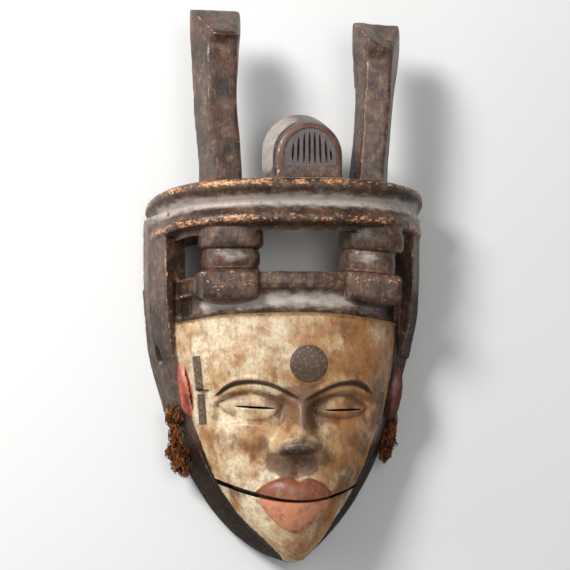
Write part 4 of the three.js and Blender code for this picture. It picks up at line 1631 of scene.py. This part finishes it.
def add(tree: bpy.types.NodeTree, kind: str, links: dict | None = None, **settings: object) -> bpy.types.Node:
    """Adds a node.

    Args:
        tree: the material's tree.
        kind: the node's type.
        links: for each input, by name or number, a value or the output that feeds it.
        settings: the node's own settings.

    Returns:
        The node.
    """
    node = tree.nodes.new(kind)
    for key, value in settings.items():
        setattr(node, key, value)
    for key, value in (links or {}).items():
        if isinstance(value, Socket):
            tree.links.new(value, node.inputs[key])
        else:
            node.inputs[key].default_value = value
    return node


@dataclass(frozen=True)
class Patches:
    """Noisy patches of one colour, to lay over another."""

    colour: str
    width: float  # of one patch, in millimetres
    detail: float
    low: float  # noise at which the colour starts to show
    high: float  # noise from which it shows most
    most: float = 1.0
    stretch: float = 1.0
    offset: float = 0.0


@dataclass
class Palette:
    """Builds one material from layers of colour, each let through by a mask."""

    name: str
    tree: bpy.types.NodeTree = field(init=False)
    material: Material = field(init=False)
    place: Socket = field(init=False)

    def __post_init__(self) -> None:
        """Starts the material with its coordinates."""
        self.material = bpy.data.materials.new(self.name)
        self.material.use_nodes = True
        self.tree = self.material.node_tree
        self.tree.nodes.clear()
        self.place = add(self.tree, "ShaderNodeTexCoord").outputs["Object"]

    def noise(self, width: float, detail: float, stretch: float = 1.0, offset: float = 0.0) -> Socket:
        """Noise whose lumps are so many millimetres wide, and longer along the grain if stretched."""
        moved = add(self.tree, "ShaderNodeMapping", {
            "Vector": self.place, "Location": (offset, offset * 0.7, -offset),
            "Scale": (1.0, 1.0 / stretch, 1.0),
            "Rotation": (0.6, 0.4, 0.5) if stretch == 1.0 else (0.0, 0.0, 0.0),
        })
        made = add(self.tree, "ShaderNodeTexNoise", {
            "Vector": moved.outputs[0], "Scale": 1000.0 / width, "Detail": detail, "Roughness": 0.55,
        })
        return made.outputs["Fac"]

    def layer(self, name: str) -> Socket:
        """A value stored on the mesh."""
        return add(self.tree, "ShaderNodeAttribute", attribute_name=name).outputs["Fac"]

    def sum(self, a: object, b: object, kind: str = "ADD") -> Socket:
        """Arithmetic on two values."""
        return add(self.tree, "ShaderNodeMath", {0: a, 1: b}, operation=kind).outputs[0]

    def times(self, a: object, b: object) -> Socket:
        """One value times another."""
        return self.sum(a, b, "MULTIPLY")

    def plus(self, a: object, b: object, part: object) -> Socket:
        """A value, and a part of another added to it."""
        return self.sum(a, self.times(b, part))

    def between(
        self, value: object, low: float, high: float, to_low: float = 0.0, to_high: float = 1.0
    ) -> Socket:
        """A smooth climb of a value between two limits."""
        made = add(self.tree, "ShaderNodeMapRange", {
            0: value, 1: low, 2: high, 3: to_low, 4: to_high,
        }, interpolation_type="SMOOTHSTEP")
        return made.outputs[0]

    def mix(self, mask: object, under: object, over: object) -> Socket:
        """Lays one colour over another."""
        made = add(self.tree, "ShaderNodeMix", data_type="RGBA")
        for index, value in ((0, mask), (6, under), (7, over)):
            value = paint_colour(value) if isinstance(value, str) else value
            if isinstance(value, Socket):
                self.tree.links.new(value, made.inputs[index])
            else:
                made.inputs[index].default_value = value
        return made.outputs[2]

    def patched(self, colour: object, *layers: Patches) -> Socket:
        """Lays patches of other colours over a colour, one after another."""
        for patch in layers:
            noise = self.noise(patch.width, patch.detail, patch.stretch, patch.offset)
            mask = self.between(noise, patch.low, patch.high, 0.0, patch.most)
            colour = self.mix(mask, colour, patch.colour)
        return colour

    def finish(self, colour: object, rough: object, height: object, depth: float, gloss: object) -> Material:
        """Ends the material: its colour, roughness and a fine relief in millimetres."""
        relief = {"Height": height, "Strength": 1.0, "Distance": depth * METRE}
        bump = add(self.tree, "ShaderNodeBump", relief)
        shader = add(self.tree, "ShaderNodeBsdfPrincipled", {
            "Base Color": colour, "Roughness": rough, "Normal": bump.outputs[0], "IOR": 1.5,
            "Specular IOR Level": gloss,
        })
        add(self.tree, "ShaderNodeOutputMaterial", {"Surface": shader.outputs[0]})
        return self.material


@dataclass(frozen=True)
class ClayOverWood:
    """Carved hardwood under an old dark patina, its face rubbed with white clay that has yellowed.

    The patina is a warm dark brown, a little glossy from handling, with painted shade that darkens and dulls
    it on the flanks, the jaw's walls and the small panels, painted highlights on the ring, the band and the
    drums, and redder bruises and pale rubs on the arrises. The clay is cream on the left and tan and ochre
    towards the right, partly as painted shade, with grain and grime showing through and painted shade round
    the eyes, nose and mouth.
    """

    black: str = "#1F150F"
    patina: str = "#413027"
    patina_mid: str = "#664B3B"
    patina_pale: str = "#957A61"
    bruise: str = "#6C3825"
    rubbed: str = "#A58A6E"
    # painted highlight colour, partly rub: the ring, the band, the drums and the dome's side
    lit: str = "#C6BBB0"
    fresh: str = "#DDA977"
    fresh_dark: str = "#9A643E"
    cream: str = "#EBDAB8"
    tan: str = "#C69C6C"
    ochre: str = "#A86A32"
    brown: str = "#664631"
    umber: str = "#3D2313"
    panel: str = "#5E5250"
    bead: str = "#94703F"
    brow: str = "#3A2519"
    grime: str = "#2B1D16"
    upper_lip: str = "#8C4C38"
    lower_lip: str = "#D98F6D"
    # the ears' one red, lit on the left ear and as a darker painted-shade copy on the right
    ear_lit: str = "#C65F48"
    ear_shaded: str = "#62271B"
    rim: str = "#8A5238"
    disc: str = "#584438"
    nose_tip: str = "#51403A"

    def wood(self, p: Palette) -> Socket:
        """The dark patina."""
        return p.patched(
            self.patina,
            Patches(self.patina_mid, 16.0, 5.0, 0.34, 0.66),
            Patches(self.patina_pale, 5.0, 7.0, 0.47, 0.72, 0.62, 1.2, 0.3),
            Patches(self.bruise, 8.0, 7.0, 0.5, 0.68, 0.6, 1.0, 0.9),
            Patches(self.black, 24.0, 5.0, 0.44, 0.66, 0.7, 1.0, 0.7),
            Patches(self.black, 1.1, 3.0, 0.48, 0.68, 0.5, 14.0, 0.1),
            Patches(self.patina_pale, 1.7, 4.0, 0.6, 0.7, 0.4, 1.0, 0.44),
        )

    def clay(self, p: Palette) -> Socket:
        """The yellowed clay of the face, darker to the right partly as painted shade, with painted shade
        round the eyes, the nose and the mouth.
        """
        across = add(p.tree, "ShaderNodeSeparateXYZ", {0: p.place}).outputs[0]
        spread = p.times(p.sum(p.noise(45.0, 3.0), -0.5), 0.1)
        # darker to the right: partly painted shade of the face's turned side, partly the clay's own tan and
        # ochre
        right = p.between(p.sum(across, spread), -0.045, 0.085)
        pale = p.plus(p.noise(30.0, 6.0, 1.3, 0.5), right, -0.22)
        colour = p.mix(p.between(pale, 0.3, 0.58), self.tan, self.cream)
        stains = p.plus(p.noise(20.0, 7.0, 1.0, 0.62), p.layer("ochre"), 0.17)
        stains = p.plus(stains, right, 0.05)
        colour = p.mix(p.between(stains, 0.48, 0.72, 0.0, 0.8), colour, self.ochre)
        # painted shade round the eyes, the nose and the mouth, with some brown stains
        shade_and_soil = p.plus(p.noise(11.0, 8.0, 1.3, 0.77), p.layer("stain"), 0.36)
        shade_and_soil = p.plus(shade_and_soil, right, 0.03)
        colour = p.mix(p.between(shade_and_soil, 0.52, 0.84, 0.0, 0.85), colour, self.brown)
        colour = p.mix(p.between(shade_and_soil, 0.8, 1.5, 0.0, 0.75), colour, self.umber)
        colour = p.patched(
            colour,
            Patches(self.ochre, 3.0, 7.0, 0.44, 0.68, 0.38, 1.0, 0.31),
            Patches(self.brown, 2.2, 6.0, 0.5, 0.74, 0.26, 1.0, 0.11),
            Patches(self.brown, 1.0, 4.0, 0.5, 0.72, 0.3, 22.0, 0.2),
        )
        smears = p.plus(p.noise(6.5, 8.0, 1.6, 0.57), right, 0.03)
        colour = p.mix(p.between(smears, 0.52, 0.68, 0.0, 0.4), colour, self.brown)
        colour = p.patched(colour, Patches(self.grime, 1.2, 4.0, 0.64, 0.72, 0.6, 1.0, 0.7))
        # darker brown along the face's right edge, partly painted shade
        return p.mix(p.between(across, 0.074, 0.1, 0.0, 0.6), colour, self.brown)

    def bare_wood(self, p: Palette, rub: object, fine: object, fresh: object) -> Socket:
        """The patina with its painted shade, its painted highlights, its rubbed arrises and its fresh flecks.
        """
        # painted shade: black over the patina where the walls turn from the light, under the ring's top and
        # in the small panels
        colour = p.mix(p.times(p.layer("smoked"), 0.85), self.wood(p), self.black)
        # painted highlights over the patina, broken by noise
        lit = p.plus(p.layer("lit"), p.noise(9.0, 5.0, 0.5, 0.21), 1.1)
        colour = p.mix(p.between(lit, 0.7, 1.55, 0.0, 0.85), colour, self.lit)
        worn = p.plus(p.times(p.layer("worn"), 0.9), rub, 1.6)
        rubbed = p.patched(self.bruise, Patches(self.rubbed, 12.0, 4.0, 0.42, 0.6, 1.0, 1.0, 0.51))
        colour = p.mix(p.between(worn, 1.3, 1.75, 0.0, 0.9), colour, rubbed)
        thick = p.between(p.noise(19.0, 4.0, 0.5, 0.8), 0.38, 0.6, 0.1, 0.31)
        flecks = p.plus(p.plus(fine, p.layer("ridge"), thick), p.layer("worn"), 0.1)
        return p.mix(p.between(flecks, 0.69, 0.74), colour, fresh)

    def painted(self, p: Palette) -> Iterable[tuple[str, object, float, float]]:
        """The painted places: layer, colour, softness of the edge, and how much colour shows."""
        lip = p.patched(
            p.mix(p.between(p.layer("lip_side"), -0.5, 0.5), self.lower_lip, self.upper_lip),
            Patches(self.tan, 14.0, 6.0, 0.44, 0.7, 0.25, 1.0, 0.2),
            Patches(self.brown, 8.0, 7.0, 0.46, 0.66, 0.55, 1.0, 0.9),
            Patches(self.tan, 5.0, 7.0, 0.5, 0.72, 0.3, 1.0, 0.24),
            Patches(self.brown, 1.3, 3.0, 0.5, 0.7, 0.3, 9.0, 0.4),
        )
        # the right ear takes the darker painted-shade copy of the red
        ear = p.patched(
            p.mix(p.between(p.layer("ear_side"), -0.5, 0.5), self.ear_lit, self.ear_shaded),
            Patches(self.grime, 9.0, 6.0, 0.46, 0.66, 0.6, 1.0, 0.35),
        )
        disc = p.patched(self.disc, Patches(self.rubbed, 1.7, 5.0, 0.56, 0.66, 0.7, 1.0, 0.4))
        bars = p.patched(self.disc, Patches(self.rubbed, 1.1, 3.0, 0.52, 0.68, 0.6, 5.0, 0.6))
        tip = p.patched(self.nose_tip, Patches(self.rubbed, 4.0, 4.0, 0.45, 0.65, 0.5, 1.0, 0.8))
        return (
            ("brows", self.brow, 1.3, 0.9), ("ears", ear, 1.2, 1.0), ("lips", lip, 0.9, 1.0),
            ("bead", self.bead, 1.1, 0.75), ("panel", self.panel, 0.6, 0.9), ("knot", self.black, 1.2, 0.9),
            # groove: painted shade in the pillars' cuts and the flutes
            ("groove", self.black, 0.9, 0.9), ("rim", self.rim, 4.0, 0.45),
            ("disc", disc, 0.5, 1.0), ("scars", bars, 0.5, 1.0), ("nose_tip", tip, 3.0, 0.95),
        )

    def material(self, name: str) -> Material:
        """Lays the clay, the painted places, the grime and the chips over the wood."""
        p = Palette(name)
        rub = p.noise(3.4, 5.0, 1.0, 0.15)
        fine = p.noise(3.2, 6.0, 0.6, 0.33)
        ragged = p.times(p.sum(p.noise(4.2, 5.0), -0.5), 3.4)
        fresh = p.patched(self.fresh_dark, Patches(self.fresh, 2.6, 4.0, 0.42, 0.62, 1.0, 1.0, 0.63))
        colour = self.bare_wood(p, rub, fine, fresh)
        colour = p.mix(p.between(p.sum(p.layer("clay"), ragged), -0.5, 0.9), colour, self.clay(p))
        for layer, over, soft, most in self.painted(p):
            reach = p.plus(p.layer(layer), ragged, 0.3)
            colour = p.mix(p.between(reach, -0.4, soft, 0.0, most), colour, over)
        low = p.plus(p.layer("sunk"), rub, 0.8)
        colour = p.mix(p.between(low, 0.55, 1.2, 0.0, 0.85), colour, self.grime)
        chips = p.sum(p.layer("chip"), p.between(p.layer("ears"), -0.5, 0.5), "SUBTRACT")
        chips = p.between(p.sum(chips, p.sum(fine, -0.5)), 0.25, 0.5, 0.0, 0.9)
        colour = p.mix(chips, colour, fresh)
        grain = p.sum(p.noise(0.9, 3.0, 14.0), p.noise(2.4, 4.0))
        # the painted shade's places are also made rougher and less glossy
        smoked = p.layer("smoked")
        rough = p.plus(p.between(rub, 0.3, 0.7, 0.26, 0.46), smoked, 0.3)
        return p.finish(colour, rough, grain, 0.2, p.between(smoked, 0.1, 0.9, 0.5, 0.08))


@dataclass(frozen=True)
class PlantFibre:
    """Dry plant fibre, dull and stringy: dark and rust brown, with bleached streaks."""

    dark: str = "#2A150B"
    rust: str = "#9C5A2E"
    bleached: str = "#DDB483"

    def material(self, name: str) -> Material:
        """Colours the strands in long streaks."""
        p = Palette(name)
        colour = p.patched(
            self.dark,
            Patches(self.rust, 3.4, 4.0, 0.4, 0.6, 1.0, 3.0),
            Patches(self.bleached, 1.4, 3.0, 0.56, 0.7, 0.8, 9.0, 0.6),
        )
        return p.finish(colour, 0.9, p.noise(0.4, 2.0, 8.0), 0.1, 0.25)


# The studio


@dataclass(frozen=True)
class Studio:
    """A pale floor, soft lights and the camera that looks down on the lying mask."""

    eye: Vector = field(default_factory=lambda: Vector((-0.2556, 0.0022, 1.6403)))
    aim: Vector = field(default_factory=lambda: Vector((-0.0053, 0.0022, 0.06)))
    lens: float = 117.2
    film: float = 36.0
    room_light: float = 0.27
    lights: tuple[tuple[str, tuple[float, float, float], float, float], ...] = (  # spot, size, power
        ("key light", (-1.0, 0.8, 1.3), 0.45, 27.0),
        ("side light", (-1.5, 0.05, 0.5), 0.8, 5.0),
        ("front light", (0.1, 0.25, 1.75), 0.6, 5.0),
    )

    def camera(self) -> None:
        """Sets the camera, with the posts' end up."""
        forward = (self.aim - self.eye).normalized()
        right = forward.cross(Vector((0, 1, 0))).normalized()
        up = right.cross(forward)
        made = bpy.data.objects.new("camera", bpy.data.cameras.new("camera"))
        made.data.lens = self.lens
        made.data.sensor_width = self.film
        turn = Matrix((right, up, -forward)).transposed().to_4x4()
        made.matrix_world = Matrix.Translation(self.eye) @ turn
        bpy.context.scene.collection.objects.link(made)
        bpy.context.scene.camera = made

    def floor(self) -> None:
        """Lays a pale, matt floor under the mask."""
        bm = bmesh.new()
        bmesh.ops.create_grid(bm, x_segments=1, y_segments=1, size=3.0)
        made = place_object("floor", bm)
        matt = bpy.data.materials.new("pale matt floor")
        matt.use_nodes = True
        shader = matt.node_tree.nodes["Principled BSDF"]
        shader.inputs["Base Color"].default_value = paint_colour("#F4F4F2")
        shader.inputs["Roughness"].default_value = 0.9
        made.data.materials.append(matt)

    def light(self, name: str, spot: Vector, size: float, power: float) -> None:
        """Hangs one soft square light that faces the mask."""
        lamp = bpy.data.lights.new(name, "AREA")
        lamp.size = size
        lamp.energy = power
        made = bpy.data.objects.new(name, lamp)
        turn = (spot - self.aim).to_track_quat("Z", "Y").to_matrix().to_4x4()
        made.matrix_world = Matrix.Translation(spot) @ turn
        bpy.context.scene.collection.objects.link(made)

    def build(self) -> None:
        """Sets the floor, the lights and the camera."""
        self.floor()
        for name, spot, size, power in self.lights:
            self.light(name, Vector(spot), size, power)
        world = bpy.data.worlds.new("soft room")
        world.use_nodes = True
        colour, strength = world.node_tree.nodes["Background"].inputs[:2]
        colour.default_value = paint_colour("#F2F4F6")
        strength.default_value = self.room_light
        bpy.context.scene.world = world
        bpy.context.scene.view_settings.view_transform = "Standard"
        self.camera()


@dataclass(frozen=True)
class Dressing:
    """How a finished piece joins the frame."""

    body: str
    node: str
    slot: str
    follows: str | None = None  # the body named for the piece's far end; when given, the piece is only baked in place, not parented
    start: Vector | None = None
    end: Vector | None = None

    def dress(self, piece: Solid, material: Material) -> None:
        """Gives the piece its material and its place on the frame."""
        piece.data.materials.clear()
        piece.data.materials.append(material)
        if self.follows:
            tuple(self.start)
            tuple(self.end)
            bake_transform(piece)
        else:
            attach(piece, self.body)
        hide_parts(self.node)
        faces = sum(len(face.vertices) - 2 for face in piece.data.polygons)
        LOG.info("%s: %d triangles", piece.name, faces)


def main() -> None:
    """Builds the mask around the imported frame."""
    logging.basicConfig(level=logging.INFO, format="%(message)s")
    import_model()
    finish = ClayOverWood()
    body = MaskBody().build("carved_mask")
    Dressing("mask", "mask_body", "patinated_wood").dress(body, finish.material("clay over patinated wood"))
    jaw = LowerJaw().build("carved_jaw")
    Dressing("lower_jaw", "jaw", "painted_wood").dress(jaw, finish.material("clay over jaw wood"))
    for node, tie in TIES.items():
        lashing = tie.build(node.replace("fibre_tie", "lashing"))
        seat(lashing)
        start, end = ((Vector(spot) + SEAT) * METRE for spot in (tie.path[-4], tie.path[-1]))
        dressing = Dressing("mask", node, "plant_fibre", "lower_jaw", start, end)
        dressing.dress(lashing, PlantFibre().material("plant fibre " + tie.side.name.lower()))
    Studio().build()


if __name__ == "__main__":
    main()
